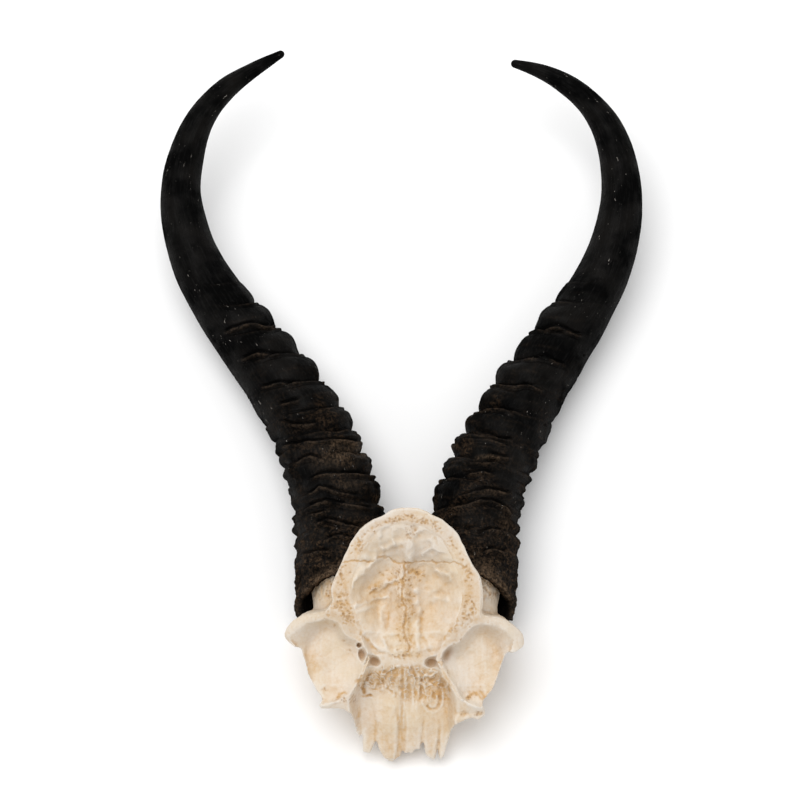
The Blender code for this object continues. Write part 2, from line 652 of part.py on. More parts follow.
def skull_plate(axes, parts, cutters):
    plate = height_block("skull_plate", parts, outer_height, OUTER_GRID_STEP, 6.0)
    plate.data.materials.append(bone_material())
    add_boolean(plate, outline_prism("plate_outline", cutters, OUTLINE, -60.0, 5.0), "INTERSECT")
    for name, axis in axes:
        add_boolean(plate, sheath_room(name + "_room", axis, cutters), "DIFFERENCE")
    for name, axis in axes:
        add_boolean(plate, horn_core(name + "_core", axis, cutters), "UNION")
    hollow = height_block("inner_side", cutters, inner_height, INNER_GRID_STEP, 30.0)
    hide_as_cutter(hollow)
    add_boolean(plate, hollow, "DIFFERENCE")
    grown = plate.modifiers.new("grow_together", "REMESH")
    grown.mode = "VOXEL"
    grown.voxel_size = BONE_VOXEL * MM
    simplify = plate.modifiers.new("simplify", "DECIMATE")
    simplify.ratio = PLATE_TRIANGLE_SHARE
    for index, item in enumerate(FORAMINA):
        add_boolean(plate, foramen_cutter(index, cutters, item), "DIFFERENCE")
    add_boolean(plate, saw_cutter(cutters), "DIFFERENCE")
    return plate


def build():
    remove_all_objects()
    parts = bpy.data.collections.new(OBJECT_NAME)
    cutters = bpy.data.collections.new("cutters")
    bpy.context.scene.collection.children.link(parts)
    bpy.context.scene.collection.children.link(cutters)

    left = HornAxis(LEFT_HORN, LEFT_VALLEYS, -1.0)
    right = HornAxis(RIGHT_HORN, RIGHT_VALLEYS, 1.0)
    plate = skull_plate((("left", left), ("right", right)), parts, cutters)
    sheaths = [
        horn_sheath("left_horn_sheath", left, parts),
        horn_sheath("right_horn_sheath", right, parts),
    ]

    rest = bpy.data.objects.new("rest_frame", None)
    parts.objects.link(rest)
    rest.rotation_euler = Euler((math.radians(REST_TILT_DEG), 0.0, 0.0))
    rest.location = [value * MM for value in REST_SHIFT]
    for item in [plate, *sheaths, *cutters.objects]:
        item.parent = rest
    bpy.context.view_layer.update()


build()
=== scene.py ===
# Springbok skull plate with its two black horns, lying inner side up as in the photograph.
# Shapes are worked out in millimetres in the plate's own frame (x to the right, y to the
# crown, z out of the open side, saw cut at z = 0) and then laid down as the frame has them.
import math

import bpy
import numpy as np
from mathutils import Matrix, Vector, noise


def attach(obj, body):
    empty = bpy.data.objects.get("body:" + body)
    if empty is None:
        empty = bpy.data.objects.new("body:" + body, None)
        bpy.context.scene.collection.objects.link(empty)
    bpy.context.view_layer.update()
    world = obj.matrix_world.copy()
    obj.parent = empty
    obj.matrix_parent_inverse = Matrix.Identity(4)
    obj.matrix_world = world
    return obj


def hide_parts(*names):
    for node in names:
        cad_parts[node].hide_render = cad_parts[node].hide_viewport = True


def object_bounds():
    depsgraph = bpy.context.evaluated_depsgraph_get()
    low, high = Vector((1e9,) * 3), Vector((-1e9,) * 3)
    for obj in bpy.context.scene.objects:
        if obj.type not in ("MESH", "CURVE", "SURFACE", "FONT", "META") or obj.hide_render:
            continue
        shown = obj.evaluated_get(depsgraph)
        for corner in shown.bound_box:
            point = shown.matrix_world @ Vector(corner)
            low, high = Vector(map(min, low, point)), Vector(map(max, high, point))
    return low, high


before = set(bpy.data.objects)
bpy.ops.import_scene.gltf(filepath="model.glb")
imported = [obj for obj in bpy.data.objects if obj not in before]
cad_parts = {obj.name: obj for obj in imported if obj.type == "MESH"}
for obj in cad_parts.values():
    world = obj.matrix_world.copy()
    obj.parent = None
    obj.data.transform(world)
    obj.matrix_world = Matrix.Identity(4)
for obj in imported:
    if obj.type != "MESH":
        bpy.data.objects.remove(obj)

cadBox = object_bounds()
rest = {"tiltDeg": 21.9, "shift": (0.71, -110.3, 54.41)}


# small helpers shared by the pieces

def stack(*columns):
    # points from their coordinates, any of which may be a single number
    return np.column_stack(np.broadcast_arrays(*columns))


def toWorld(points):
    turn = math.radians(rest["tiltDeg"])
    points = np.asarray(points, dtype=float)
    x, y, z = points[:, 0], points[:, 1], points[:, 2]
    laid = stack(x, y * math.cos(turn) - z * math.sin(turn), y * math.sin(turn) + z * math.cos(turn))
    return (laid + rest["shift"]) * 0.001


def limit(value):
    return np.clip(value, 0.0, 1.0)


def smoothStep(value):
    t = limit(value)
    return t * t * (3.0 - 2.0 * t)


def fade(away, width):
    # 1 at no distance, falling off softly past the width
    return np.exp(-(away / width) ** 2)


def selectOnly(piece):
    bpy.ops.object.select_all(action="DESELECT")
    bpy.context.view_layer.objects.active = piece
    piece.select_set(True)


def getPoints(piece):
    flat = np.empty(len(piece.data.vertices) * 3)
    piece.data.vertices.foreach_get("co", flat)
    return flat.reshape(-1, 3)


def setPoints(piece, points):
    piece.data.vertices.foreach_set("co", np.ascontiguousarray(points).ravel())
    piece.data.update()


def getNormals(piece):
    flat = np.empty(len(piece.data.vertices) * 3)
    piece.data.vertices.foreach_get("normal", flat)
    return flat.reshape(-1, 3)


def perlin(points, size, seed):
    shift = Vector((seed * 7.31, seed * 3.17, seed * 5.73))
    scale = 1.0 / size
    return np.array([noise.noise(Vector(p) * scale + shift) for p in points.tolist()])


def nearestCell(points, size, seed):
    # distance to the nearest of scattered centres
    shift = Vector((seed * 4.7, seed * 9.1, seed * 2.3))
    scale = 1.0 / size
    return np.array([noise.voronoi(Vector(p) * scale + shift)[0][0] for p in points.tolist()])


def distanceTo(x, y, line, closed=False):
    pairs = list(zip(line[:-1], line[1:]))
    if closed:
        pairs.append((line[-1], line[0]))
    best = np.full(x.shape, 1e6)
    for (ax, ay), (bx, by) in pairs:
        ux, uy = bx - ax, by - ay
        along = limit(((x - ax) * ux + (y - ay) * uy) / (ux * ux + uy * uy))
        best = np.minimum(best, np.hypot(x - ax - along * ux, y - ay - along * uy))
    return best


def insideOf(x, y, line):
    inside = np.zeros(x.shape, dtype=bool)
    for (ax, ay), (bx, by) in zip(line, line[1:] + line[:1]):
        if ay != by:
            inside ^= ((ay > y) != (by > y)) & (x < (bx - ax) * (y - ay) / (by - ay) + ax)
    return inside


def spot(x, y, centreX, centreY, halfX, halfY, turnDeg=0.0):
    turn = math.radians(turnDeg)
    u = (x - centreX) * math.cos(turn) + (y - centreY) * math.sin(turn)
    v = (y - centreY) * math.cos(turn) - (x - centreX) * math.sin(turn)
    return np.exp(-((u / halfX) ** 2 + (v / halfY) ** 2))


def change(piece, name, kind, **settings):
    # adds a modifier and applies it
    made = piece.modifiers.new(name, kind)
    for key, value in settings.items():
        setattr(made, key, value)
    selectOnly(piece)
    bpy.ops.object.modifier_apply(modifier=made.name)


def cutWith(piece, tool, how):
    change(piece, tool.name, "BOOLEAN", operation=how, object=tool, solver="MANIFOLD")
    bpy.data.objects.remove(tool, do_unlink=True)


def paint(piece, marks):
    for name, values in marks.items():
        layer = piece.data.attributes.new(name, "FLOAT", "POINT")
        layer.data.foreach_set("value", np.ascontiguousarray(values, dtype=np.float32))


def meshObject(name, points, faces):
    mesh = bpy.data.meshes.new(name)
    mesh.from_pydata(points, [], faces)
    made = bpy.data.objects.new(name, mesh)
    bpy.context.scene.collection.objects.link(made)
    return made


def editWhole(piece, *steps):
    # the steps run on the whole mesh, and then its faces are turned outward
    selectOnly(piece)
    bpy.ops.object.mode_set(mode="EDIT")
    for step in steps:
        bpy.ops.mesh.select_all(action="SELECT")
        step()
    bpy.ops.mesh.select_all(action="SELECT")
    bpy.ops.mesh.normals_make_consistent(inside=False)
    bpy.ops.object.mode_set(mode="OBJECT")


def hollowness(piece, rounds):
    # how far each point lies below its surroundings, in millimetres
    points = getPoints(piece)
    edges = np.empty(len(piece.data.edges) * 2, dtype=np.int64)
    piece.data.edges.foreach_get("vertices", edges)
    edges = edges.reshape(-1, 2)
    ends = np.concatenate((edges[:, 0], edges[:, 1]))
    others = np.concatenate((edges[:, 1], edges[:, 0]))
    count = np.maximum(np.bincount(ends, minlength=len(points)), 1)
    soft = points.copy()
    for _ in range(rounds):
        soft = np.column_stack([
            np.bincount(ends, weights=soft[others, k], minlength=len(points)) / count
            for k in range(3)
        ])
    return np.einsum("ij,ij->i", soft - points, getNormals(piece))


def finishPiece(piece, material):
    # lays the piece down, keeps it inside the frame's box and hands it over
    points = toWorld(getPoints(piece))
    setPoints(piece, np.clip(points, np.array(cadBox[0]), np.array(cadBox[1])))
    piece.data.materials.clear()
    piece.data.materials.append(material)
    selectOnly(piece)
    bpy.ops.object.shade_smooth()
    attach(piece, "root")
    print(piece.name, "has", sum(len(face.vertices) - 2 for face in piece.data.polygons), "triangles")


# camera, light and floor

view = {
    "place": (-1.32, 88.0, 1500.0),  # in the plate's frame, looking straight at the saw cut
    "widthAtCut": 352.0,
    "distance": 1500.0,
}
bpy.ops.object.camera_add(location=toWorld([view["place"]])[0],
                          rotation=(math.radians(rest["tiltDeg"]), 0.0, 0.0))
camera = bpy.context.object
camera.name = "photoCamera"
camera.data.sensor_width = 36.0
camera.data.lens = 36.0 * view["distance"] / view["widthAtCut"]
camera.data.clip_start = 0.05
camera.data.clip_end = 20.0
bpy.context.scene.camera = camera

studio = {
    "keyPlace": (-450.0, 1050.0, 2000.0), "keySize": 2.0, "keyPower": 33.0,
    "sky": 0.74,
    "floorSize": 8.0,
}
middle = Vector(toWorld([(0.0, 60.0, -40.0)])[0])
keyPlace = Vector(toWorld([studio["keyPlace"]])[0])
bpy.ops.object.light_add(type="AREA", location=keyPlace)
keyLight = bpy.context.object
keyLight.name = "keyLight"
keyLight.rotation_euler = (middle - keyPlace).to_track_quat("-Z", "Y").to_euler()
keyLight.data.shape = "DISK"
keyLight.data.size = studio["keySize"]
keyLight.data.energy = studio["keyPower"]

sky = bpy.data.worlds.new("studioSky")
bpy.context.scene.world = sky
sky.use_nodes = True
sky.node_tree.nodes["Background"].inputs["Color"].default_value = (1.0, 1.0, 1.0, 1.0)
sky.node_tree.nodes["Background"].inputs["Strength"].default_value = studio["sky"]
bpy.context.scene.view_settings.view_transform = "Standard"
bpy.context.scene.view_settings.look = "None"


# materials

class Shade:
    # a material, its object coordinates and short names for the nodes that it is made of
    def __init__(self, name):
        self.material = bpy.data.materials.new(name)
        self.material.use_nodes = True
        self.tree = self.material.node_tree
        self.where = self.node("ShaderNodeTexCoord").outputs["Object"]
        self.colour = None

    def fill(self, socket, value):
        # with the socket of another node, or with a plain value
        if isinstance(value, bpy.types.NodeSocket):
            self.tree.links.new(value, socket)
        else:
            socket.default_value = value

    def node(self, kind, inputs=(), **settings):
        made = self.tree.nodes.new(kind)
        for key, value in settings.items():
            setattr(made, key, value)
        for key, value in inputs:
            self.fill(made.inputs[key], value)
        return made

    def mark(self, name, output="Fac"):
        return self.node("ShaderNodeAttribute", attribute_name=name).outputs[output]

    def noise(self, scale, detail=4.0, roughness=0.55, where=None):
        inputs = [("Vector", where or self.where), ("Scale", scale), ("Detail", detail),
                  ("Roughness", roughness)]
        return self.node("ShaderNodeTexNoise", inputs).outputs["Fac"]

    def stretched(self, vector, along):
        scale = (1.0, 1.0, along)
        return self.node("ShaderNodeMapping", [("Vector", vector), ("Scale", scale)]).outputs["Vector"]

    def span(self, value, low, high, fromLow, fromHigh):
        names = ("Value", "To Min", "To Max", "From Min", "From Max")
        inputs = zip(names, (value, low, high, fromLow, fromHigh))
        return self.node("ShaderNodeMapRange", inputs).outputs["Result"]

    def work(self, how, first, second):
        inputs = [(0, first), (1, second)]
        return self.node("ShaderNodeMath", inputs, operation=how, use_clamp=True).outputs[0]

    def times(self, first, second):
        return self.work("MULTIPLY", first, second)

    def mix(self, share, first, second):
        inputs = [(0, share), (6, first), (7, second)]
        return self.node("ShaderNodeMix", inputs, data_type="RGBA", clamp_factor=True).outputs[2]

    def layer(self, share, colour):
        self.colour = self.mix(share, self.colour, colour)

    def bump(self, *heights):
        # each is a height, its distance and its strength
        below = []
        for height, distance, strength in heights:
            inputs = [("Height", height), ("Distance", distance), ("Strength", strength)]
            below = [("Normal", self.node("ShaderNodeBump", inputs + below).outputs["Normal"])]
        return below[0][1]

    def finish(self, values):
        surface = self.tree.nodes["Principled BSDF"]
        self.fill(surface.inputs["Base Color"], self.colour)
        for name, value in values.items():
            self.fill(surface.inputs[name], value)
        return self.material


boneColours = {
    "cream": (0.685, 0.57, 0.425, 1.0),
    "pale": (0.72, 0.64, 0.55, 1.0),
    "chalk": (0.71, 0.67, 0.61, 1.0),
    "ochre": (0.55, 0.345, 0.155, 1.0),
    "brown": (0.34, 0.195, 0.095, 1.0),
    "grey": (0.42, 0.365, 0.31, 1.0),
}


def boneMaterial():
    shade = Shade("agedBone")
    clouds = shade.noise(55.0)
    mottle = shade.noise(320.0)
    grain = shade.noise(1500.0, 3.0)
    stain = shade.mark("stain")
    shade.colour = shade.mix(shade.span(clouds, 0.0, 1.0, 0.36, 0.64),
                             boneColours["cream"], boneColours["pale"])
    shade.layer(shade.times(stain, shade.span(mottle, 0.5, 1.4, 0.3, 0.7)), boneColours["ochre"])
    # grey tone, and painted shade in the crown's hollows, folds, seams, pockets and along the orbits' rims
    shade.layer(shade.mark("grey"), boneColours["grey"])
    shade.layer(shade.mark("ridge"), boneColours["chalk"])
    # open bone: a net of tiny stained cells, finer than the mesh
    jitter = shade.node("ShaderNodeTexNoise", [("Vector", shade.where), ("Scale", 420.0), ("Detail", 2.0)])
    spread = shade.node("ShaderNodeVectorMath", [(0, jitter.outputs["Color"]), ("Scale", 0.0011)],
                        operation="SCALE")
    warped = shade.node("ShaderNodeVectorMath", [(0, shade.where), (1, spread.outputs[0])], operation="ADD")
    net = shade.node("ShaderNodeTexVoronoi", [("Vector", warped.outputs[0]), ("Scale", 700.0)])
    cell = shade.span(net.outputs["Distance"], 1.0, 0.0, 0.18, 0.52)
    cell = shade.times(cell, shade.span(mottle, 0.15, 1.0, 0.4, 0.58))
    cell = shade.times(cell, shade.mark("sponge"))
    shade.layer(shade.times(cell, 0.9), boneColours["brown"])
    speck = shade.span(shade.noise(640.0, 4.0, 0.7), 0.0, 1.0, 0.49, 0.66)
    shade.layer(shade.times(speck, shade.span(stain, 0.03, 0.5, 0.05, 0.75)), boneColours["ochre"])
    # brown of pores and sutures, and painted shade in deep hollows, pockets and the recess
    shade.layer(shade.mark("pore"), boneColours["brown"])
    shade.layer(shade.span(grain, 0.0, 0.2, 0.52, 0.72), boneColours["ochre"])
    return shade.finish({
        "Roughness": shade.span(mottle, 0.55, 0.85, 0.3, 0.7),
        "Specular IOR Level": 0.3,
        "Normal": shade.bump((mottle, 0.00025, 0.5), (grain, 0.00012, 0.6),
                             (shade.work("SUBTRACT", 1.0, cell), 0.0004, 0.7)),
    })


hornColours = {
    "black": (0.0021, 0.0021, 0.0021, 1.0),
    "brown": (0.0050, 0.0043, 0.0037, 1.0),
    "worn": (0.0115, 0.0112, 0.0108, 1.0),
    "lip": (0.040, 0.028, 0.019, 1.0),
    "dust": (0.066, 0.041, 0.024, 1.0),
    "tan": (0.15, 0.10, 0.062, 1.0),
    "fleck": (0.40, 0.37, 0.33, 1.0),
}


def hornMaterial(name):
    shade = Shade(name)
    flow = shade.mark("flow", "Vector")  # millimetres round and along the horn
    fibres = shade.noise(1.3, 4.0, 0.6, shade.stretched(flow, 0.055))
    clouds = shade.noise(70.0)
    mottle = shade.noise(420.0, 5.0, 0.65)
    grain = shade.noise(1700.0, 3.0)
    speck = shade.noise(850.0, 4.0, 0.7)
    dust = shade.mark("dust")
    shade.colour = shade.mix(shade.span(clouds, 0.0, 0.8, 0.42, 0.66),
                             hornColours["black"], hornColours["brown"])
    shade.layer(shade.times(shade.span(fibres, 0.0, 0.8, 0.5, 0.75), shade.span(mottle, 0.2, 1.0, 0.35, 0.6)),
                hornColours["worn"])
    dusty = shade.times(shade.span(mottle, 0.15, 1.0, 0.4, 0.6), shade.span(speck, 0.0, 1.6, 0.44, 0.6))
    shade.layer(shade.times(dust, dusty), hornColours["dust"])
    # dust on the rings' lips, partly a painted highlight
    shade.layer(shade.times(shade.mark("lip"), shade.span(speck, 0.1, 1.0, 0.4, 0.58)), hornColours["lip"])
    stringy = shade.times(shade.span(fibres, 0.25, 1.0, 0.4, 0.62), shade.span(speck, 0.15, 1.0, 0.4, 0.6))
    shade.layer(shade.times(shade.mark("patch"), stringy), hornColours["tan"])
    flecks = shade.noise(0.95, 3.0, 0.7, shade.stretched(flow, 0.35))
    groups = shade.span(shade.noise(130.0, 3.0), 0.0, 1.0, 0.52, 0.62)
    shade.layer(shade.times(shade.span(flecks, 0.0, 0.8, 0.655, 0.73), groups), hornColours["fleck"])
    # painted shade along the grooves
    shade.layer(shade.times(shade.mark("grooveShade"), 0.85), hornColours["black"])
    facing = shade.node("ShaderNodeLayerWeight", [("Blend", 0.5)]).outputs["Facing"]
    return shade.finish({
        "Roughness": shade.work("ADD", shade.span(mottle, 0.24, 0.52, 0.3, 0.7), shade.times(dust, 0.35)),
        "Specular IOR Level": shade.times(shade.span(facing, 0.036, 0.001, 0.3, 0.8),
                                          shade.span(clouds, 0.05, 1.0, 0.38, 0.6)),
        "Normal": shade.bump((fibres, 0.00022, 0.55), (mottle, 0.0003, 0.55), (speck, 0.00022, 0.6),
                             (grain, 0.0001, 0.5)),
    })


def floorMaterial():
    shade = Shade("paleFloor")
    soft = shade.span(shade.noise(6.0), 0.0, 1.0, 0.3, 0.7)
    shade.colour = shade.mix(soft, (0.945, 0.945, 0.945, 1.0), (0.96, 0.96, 0.96, 1.0))
    return shade.finish({"Roughness": 0.9, "Specular IOR Level": 0.1})


bpy.ops.mesh.primitive_plane_add(size=studio["floorSize"])
floor = bpy.context.object
floor.name = "paleFloor"
floor.data.materials.append(floorMaterial())


# the horn sheaths

leftHorn = {
    "name": "leftHornSheath", "node": "left_horn_sheath", "side": -1.0, "seed": 3,
    "stations": [  # x, y and half width, base to tip
        (-29, 2, 19.6), (-28.5, 16, 19.6), (-29.5, 36, 19.5), (-33.8, 51.5, 18.5), (-42.8, 74, 16.9),
        (-55, 92.5, 16.1), (-69, 111, 14.9), (-83, 130, 13.9), (-94.5, 148.5, 12.6), (-101.5, 167.5, 11.1),
        (-104, 186, 9.8), (-101, 205, 8.5), (-95.5, 219.5, 7.1), (-84, 234, 5.7), (-71.5, 243.5, 4.1),
        (-63, 249, 2.9), (-56.5, 253, 2),
    ],
    "valleys": (5.0, 14.0, 26.0, 39.0, 53.0, 64.5, 77.5, 89.5, 106.0, 122.5, 139.0, 156.0, 168.0),
    "wornPatches": [(-28.5, 62.5, 8.5, 3.8, 8.0, 0.65), (-24.0, 49.5, 6.0, 2.0, 6.0, 0.25),
                    (-34.0, 9.5, 12.0, 3.0, 38.0, 0.9)],
    "wornArcs": [[(-32.5, 66.8), (-29.0, 68.3), (-25.5, 68.0), (-21.6, 65.8), (-19.4, 61.5)]],
    "creases": [  # arching over the open side, left to right
        [(-82, 120.4), (-71.3, 123.2), (-59.3, 122.3)], [(-74, 107.9), (-67, 109.8), (-56.9, 109.3)],
        [(-64.6, 94.9), (-56.7, 96.8), (-47.5, 95.8)], [(-56.6, 86.6), (-47.4, 88)],
        [(-54.9, 78.8), (-47.1, 77), (-38.8, 77.5)],
        [(-53.6, 67.8), (-47.6, 69.2), (-41.6, 69.7), (-31.6, 69.7), (-21.5, 68.3)],
        [(-48, 60.5), (-44.8, 62.4), (-41.6, 63.3), (-37, 61.9)],
        [(-41.9, 52.4), (-37.8, 55.2), (-31.4, 55.6), (-24.6, 55.2), (-14.5, 53.3)],
        [(-42.8, 46.5), (-37.3, 49.3), (-31.4, 47.9), (-20, 45.2)],
        [(-42.7, 40.7), (-38.6, 42.5), (-34.5, 43.7), (-27.9, 42.7), (-15.9, 39.4)],
        [(-38.5, 33.5), (-34.4, 34.9), (-30.4, 34.9), (-19, 31.3)],
        [(-34.4, 26.9), (-31.2, 28.2), (-27.6, 28.2), (-22.6, 26.9)], [(-41.3, 37.5), (-35, 38.4)],
        [(-44.3, 19.2), (-38.5, 21), (-33, 21.4)],
    ],
    "nicks": [(-58.2, 107.1, 0.5), (-45.4, 107.1, 0.5), (-31.8, 87.1, 0.5)],
}
rightHorn = {
    "name": "rightHornSheath", "node": "right_horn_sheath", "side": 1.0, "seed": 11,
    "stations": [
        (32, 2, 19.2), (32.5, 16, 19.2), (33.5, 36, 19.1), (37.9, 51.5, 18.1), (47.5, 71.5, 16.6),
        (58.7, 91, 15.5), (71, 109.5, 14.7), (83, 128, 13.6), (93.5, 146.5, 12.5), (100, 165.5, 11.1),
        (102.5, 185.5, 9.8), (100, 204, 8.6), (94.5, 218.5, 7.4), (84, 231.5, 6), (72, 240, 4.6),
        (61, 245, 3.3), (51.5, 248, 2.1),
    ],
    "valleys": (5.0, 14.0, 25.0, 37.0, 51.5, 62.0, 74.5, 89.0, 105.0, 120.0, 137.5, 154.5, 167.0),
    "wornPatches": [(40.0, 46.5, 7.0, 1.6, 0.0, 0.25), (46.5, 34.0, 3.0, 6.0, 0.0, 0.3),
                    (38.0, 9.5, 10.0, 3.4, -42.0, 0.9)],
    "wornArcs": [[(33.5, 61.6), (38.0, 62.3), (43.0, 61.6)]],
    "creases": [
        [(38.1, 83), (41.7, 84.3), (45.9, 83.9), (49.5, 82)],
        [(34.8, 73.8), (38.9, 72.9), (42.6, 71.1), (49.5, 70.6)],
        [(23.4, 65.1), (27.1, 68.3), (31.2, 69.7), (38.9, 70.2), (46.3, 68.5)],
        [(40, 63.8), (43.9, 63.3), (48, 62.4)], [(29.3, 59.2), (35.2, 60.6), (42.5, 60.6)],
        [(28.8, 54.7), (35.2, 56), (40.7, 55.1)],
        [(26.5, 45.2), (32.4, 47.5), (37.9, 48.4), (43.3, 47.9), (47.9, 46.5)],
        [(17.8, 37.3), (23.7, 40.7), (29.8, 42.5), (35.1, 43.7), (39.8, 43.4), (45.1, 41.2), (49.1, 37.3)],
        [(34.1, 29), (39.5, 30.9), (44.9, 29.5)], [(34.9, 21), (41.3, 22.3), (46.2, 20.5)],
        [(62, 120.5), (72, 121.8), (82, 118.5)], [(56, 106.5), (65, 108), (74, 105.5)],
        [(48, 94), (56, 95.5), (63, 93)],
    ],
    "nicks": [(28.6, 30.9, 1.3), (83.7, 108.5, 0.5), (64.6, 76.6, 0.5)],
}
hornShape = {
    "baseZ": -34.0,
    # places along the horn, and the value at each: sinking in degrees, depth to width, height of
    # the rings, and how far rings lean along the horn and tilt towards its outer edge in degrees
    "sink": ((0.0, 40.0, 80.0, 110.0, 140.0, 170.0, 200.0, 240.0, 270.0, 300.0),
             (18.5, 23.5, 25.0, 21.0, 14.0, 9.0, 7.0, 9.0, 15.0, 22.0)),
    "deep": ((0.0, 120.0, 220.0), (1.12, 1.06, 1.0)),
    "ring": ((0.0, 20.0, 45.0, 70.0, 95.0, 125.0, 148.0, 162.0), (0.5, 1.6, 2.7, 3.2, 3.2, 2.9, 2.4, 0.9)),
    "lean": ((0.0, 20.0, 45.0, 80.0, 120.0, 170.0, 210.0), (12.0, -4.0, -17.0, -20.0, -15.0, -8.0, 0.0)),
    "tilt": ((0.0, 20.0, 60.0, 110.0, 170.0, 230.0), (-26.0, 0.0, 10.0, 29.0, 29.0, 0.0)),
    "slack": 0.35,  # keeps the fine surface inside the frame's box
    "around": 184, "ringedStep": 0.46, "ringedEnd": 172.0, "bareStep": 1.6,
    "tipLength": 2.2, "tipRound": 1.7, "tipRows": (1.9, 1.6, 1.25, 0.9, 0.6, 0.35, 0.15, 0.04, 0.0),
    "merge": 0.0005, "knobPitch": 7.4, "pocketShift": 400.0,  # the last keeps the pocket's pattern apart
    "pocketEnd": 168.0, "pocketStep": 7.0, "wall": 2.6, "rimWall": 3.2, "wallGrowth": 7.5, "coreGap": 1.3,
}


def profile(name, q):
    places, values = hornShape[name]
    return np.interp(q, places, values)


def ringSlant(q, angle):
    # how far along the horn a ring's points are moved, for each millimetre of its radius
    tilt, lean = np.tan(np.radians(profile("tilt", q))), np.tan(np.radians(profile("lean", q)))
    return tilt * np.cos(angle) + lean * np.sin(angle)


def smoothThrough(values, places, wanted):
    slopes = np.gradient(values, places)
    k = np.clip(np.searchsorted(places, wanted) - 1, 0, len(places) - 2)
    span = places[k + 1] - places[k]
    t = (wanted - places[k]) / span
    keep = (1.0 + 2.0 * t) * (1.0 - t) ** 2
    take = t * t * (3.0 - 2.0 * t)
    return (keep * values[k] + take * values[k + 1] + t * (1.0 - t) ** 2 * span * slopes[k]
            + t * t * (t - 1.0) * span * slopes[k + 1])


def hornLine(horn):
    # middle line of a horn, sinking away from the open side as it goes
    points = np.array(horn["stations"])
    run = np.concatenate(([0.0], np.cumsum(np.hypot(*np.diff(points[:, :2], axis=0).T))))
    fine = np.linspace(0.0, run[-1], 900)
    x = smoothThrough(points[:, 0], run, fine)
    y = smoothThrough(points[:, 1], run, fine)
    length, depth = [0.0], [hornShape["baseZ"]]
    for step in np.hypot(np.diff(x), np.diff(y)):
        slope = math.radians(profile("sink", length[-1]))
        length.append(length[-1] + step / math.cos(slope))
        depth.append(depth[-1] - step * math.tan(slope))
    return {"side": horn["side"], "length": np.array(length), "total": length[-1],
            "track": stack(x, y, depth),
            "half": smoothThrough(points[:, 2], run, fine)}


def halfWidth(line, s):
    return np.interp(s, line["length"], line["half"])


def alongLine(line, s):
    return np.column_stack([np.interp(s, line["length"], line["track"][:, k]) for k in range(3)])


def lineFrame(line, s):
    # middle, outward side and open side at each length; straight on below the base
    low = np.clip(s - 3.0, 0.0, line["total"] - 6.0)
    along = alongLine(line, low + 6.0) - alongLine(line, low)
    along /= np.linalg.norm(along, axis=1)[:, None]
    outward = np.cross(along, (0.0, 0.0, 1.0)) * line["side"]
    outward /= np.linalg.norm(outward, axis=1)[:, None]
    inner = np.cross(outward, along) * line["side"]
    centre = alongLine(line, s) + np.minimum(s, 0.0)[:, None] * along
    return centre, outward, inner


def hornRing(line, s, angle, radius):
    deep = radius * profile("deep", s)
    centre, outward, inner = lineFrame(line, s)
    return (centre + (radius * np.cos(angle))[:, None] * outward
            + (deep * np.sin(angle))[:, None] * inner)


def wallGrowth(s):
    # how much thicker the wall is than at the base
    return hornShape["wallGrowth"] * (np.clip(s, 0.0, hornShape["pocketEnd"]) / hornShape["pocketEnd"]) ** 2.5


def pocketWall(s):
    return np.interp(s, (-6.0, 4.0), (hornShape["rimWall"], hornShape["wall"])) + wallGrowth(s)


def ringShare(angle, q):
    # rings are full on the side towards the other horn and die out before the outer edge
    fromMedial = np.abs(np.degrees(angle) % 360.0 - 180.0)
    openSide = np.sin(angle) > 0.0
    medial = (0.5 - 0.5 * np.cos(angle)) ** 1.5
    far = np.minimum(1.0, medial + 0.45 * np.maximum(0.0, -np.sin(angle)))
    near = smoothStep((132.0 - fromMedial) / 78.0)
    edge = 0.4 * np.maximum(0.0, np.cos(angle)) ** 2 * smoothStep((115.0 - q) / 30.0)
    return np.minimum(1.0, np.where(openSide, near, far) + edge)


def ringRelief(horn, q, angle, points):
    valleys = np.array(horn["valleys"])
    seed = horn["seed"]
    drift = perlin(points, 14.0, seed) * 1.9 + perlin(points, 5.0, seed + 1) * 0.6
    place = q + drift * smoothStep((q - 4.0) / 10.0)
    k = np.clip(np.searchsorted(valleys, place, side="right") - 1, 0, len(valleys) - 2)
    within = (place >= valleys[0]) & (place < valleys[-1])
    pitch = valleys[k + 1] - valleys[k]
    fromTop = valleys[k + 1] - place
    down = limit(fromTop / pitch)
    bulge = np.sin(math.pi * down ** 0.85)
    share = ringShare(angle, q)
    openMiddle = limit(np.sin(angle)) ** 2 * smoothStep((92.0 - q) / 30.0)
    uneven = 1.0 + 0.45 * perlin(points, 11.0, seed + 3)
    rise = profile("ring", q) * bulge * share
    rise = rise * np.clip(uneven, 0.6, 1.25) * (1.0 - 0.3 * openMiddle)
    strength = np.clip(0.8 + 1.1 * perlin(points, 9.0, seed + 2), 0.2, 1.35)
    line = fade(fromTop, 0.5) + fade(place - valleys[k], 0.45)
    lip = fade(fromTop - 1.4, 0.65)
    second = fade(fromTop - 2.9, 0.6)
    minor = fade(fromTop - 0.52 * pitch, 0.8) * smoothStep((84.0 - q) / 20.0)
    fading = smoothStep((q - 4.0) / 8.0) * (1.0 - 0.8 * smoothStep((q - 150.0) / 14.0))
    marks = share * strength * fading * (1.0 - 0.75 * openMiddle)
    # painted shade along each ring's valley
    grooveShade = within * marks * (line + 0.4 * second + 0.5 * minor)
    fine = marks * (0.8 * lip - 1.25 * line - 0.5 * second - 0.6 * minor)
    # the lip mark: dust along the lips, partly a painted highlight
    lip = within * marks * (lip + 0.4 * fade(fromTop - 0.52 * pitch - 1.3, 0.7))
    lip = lip * (1.0 - 0.55 * smoothStep((q - 70.0) / 50.0))
    return within * (rise + fine), limit(grooveShade), limit(lip)


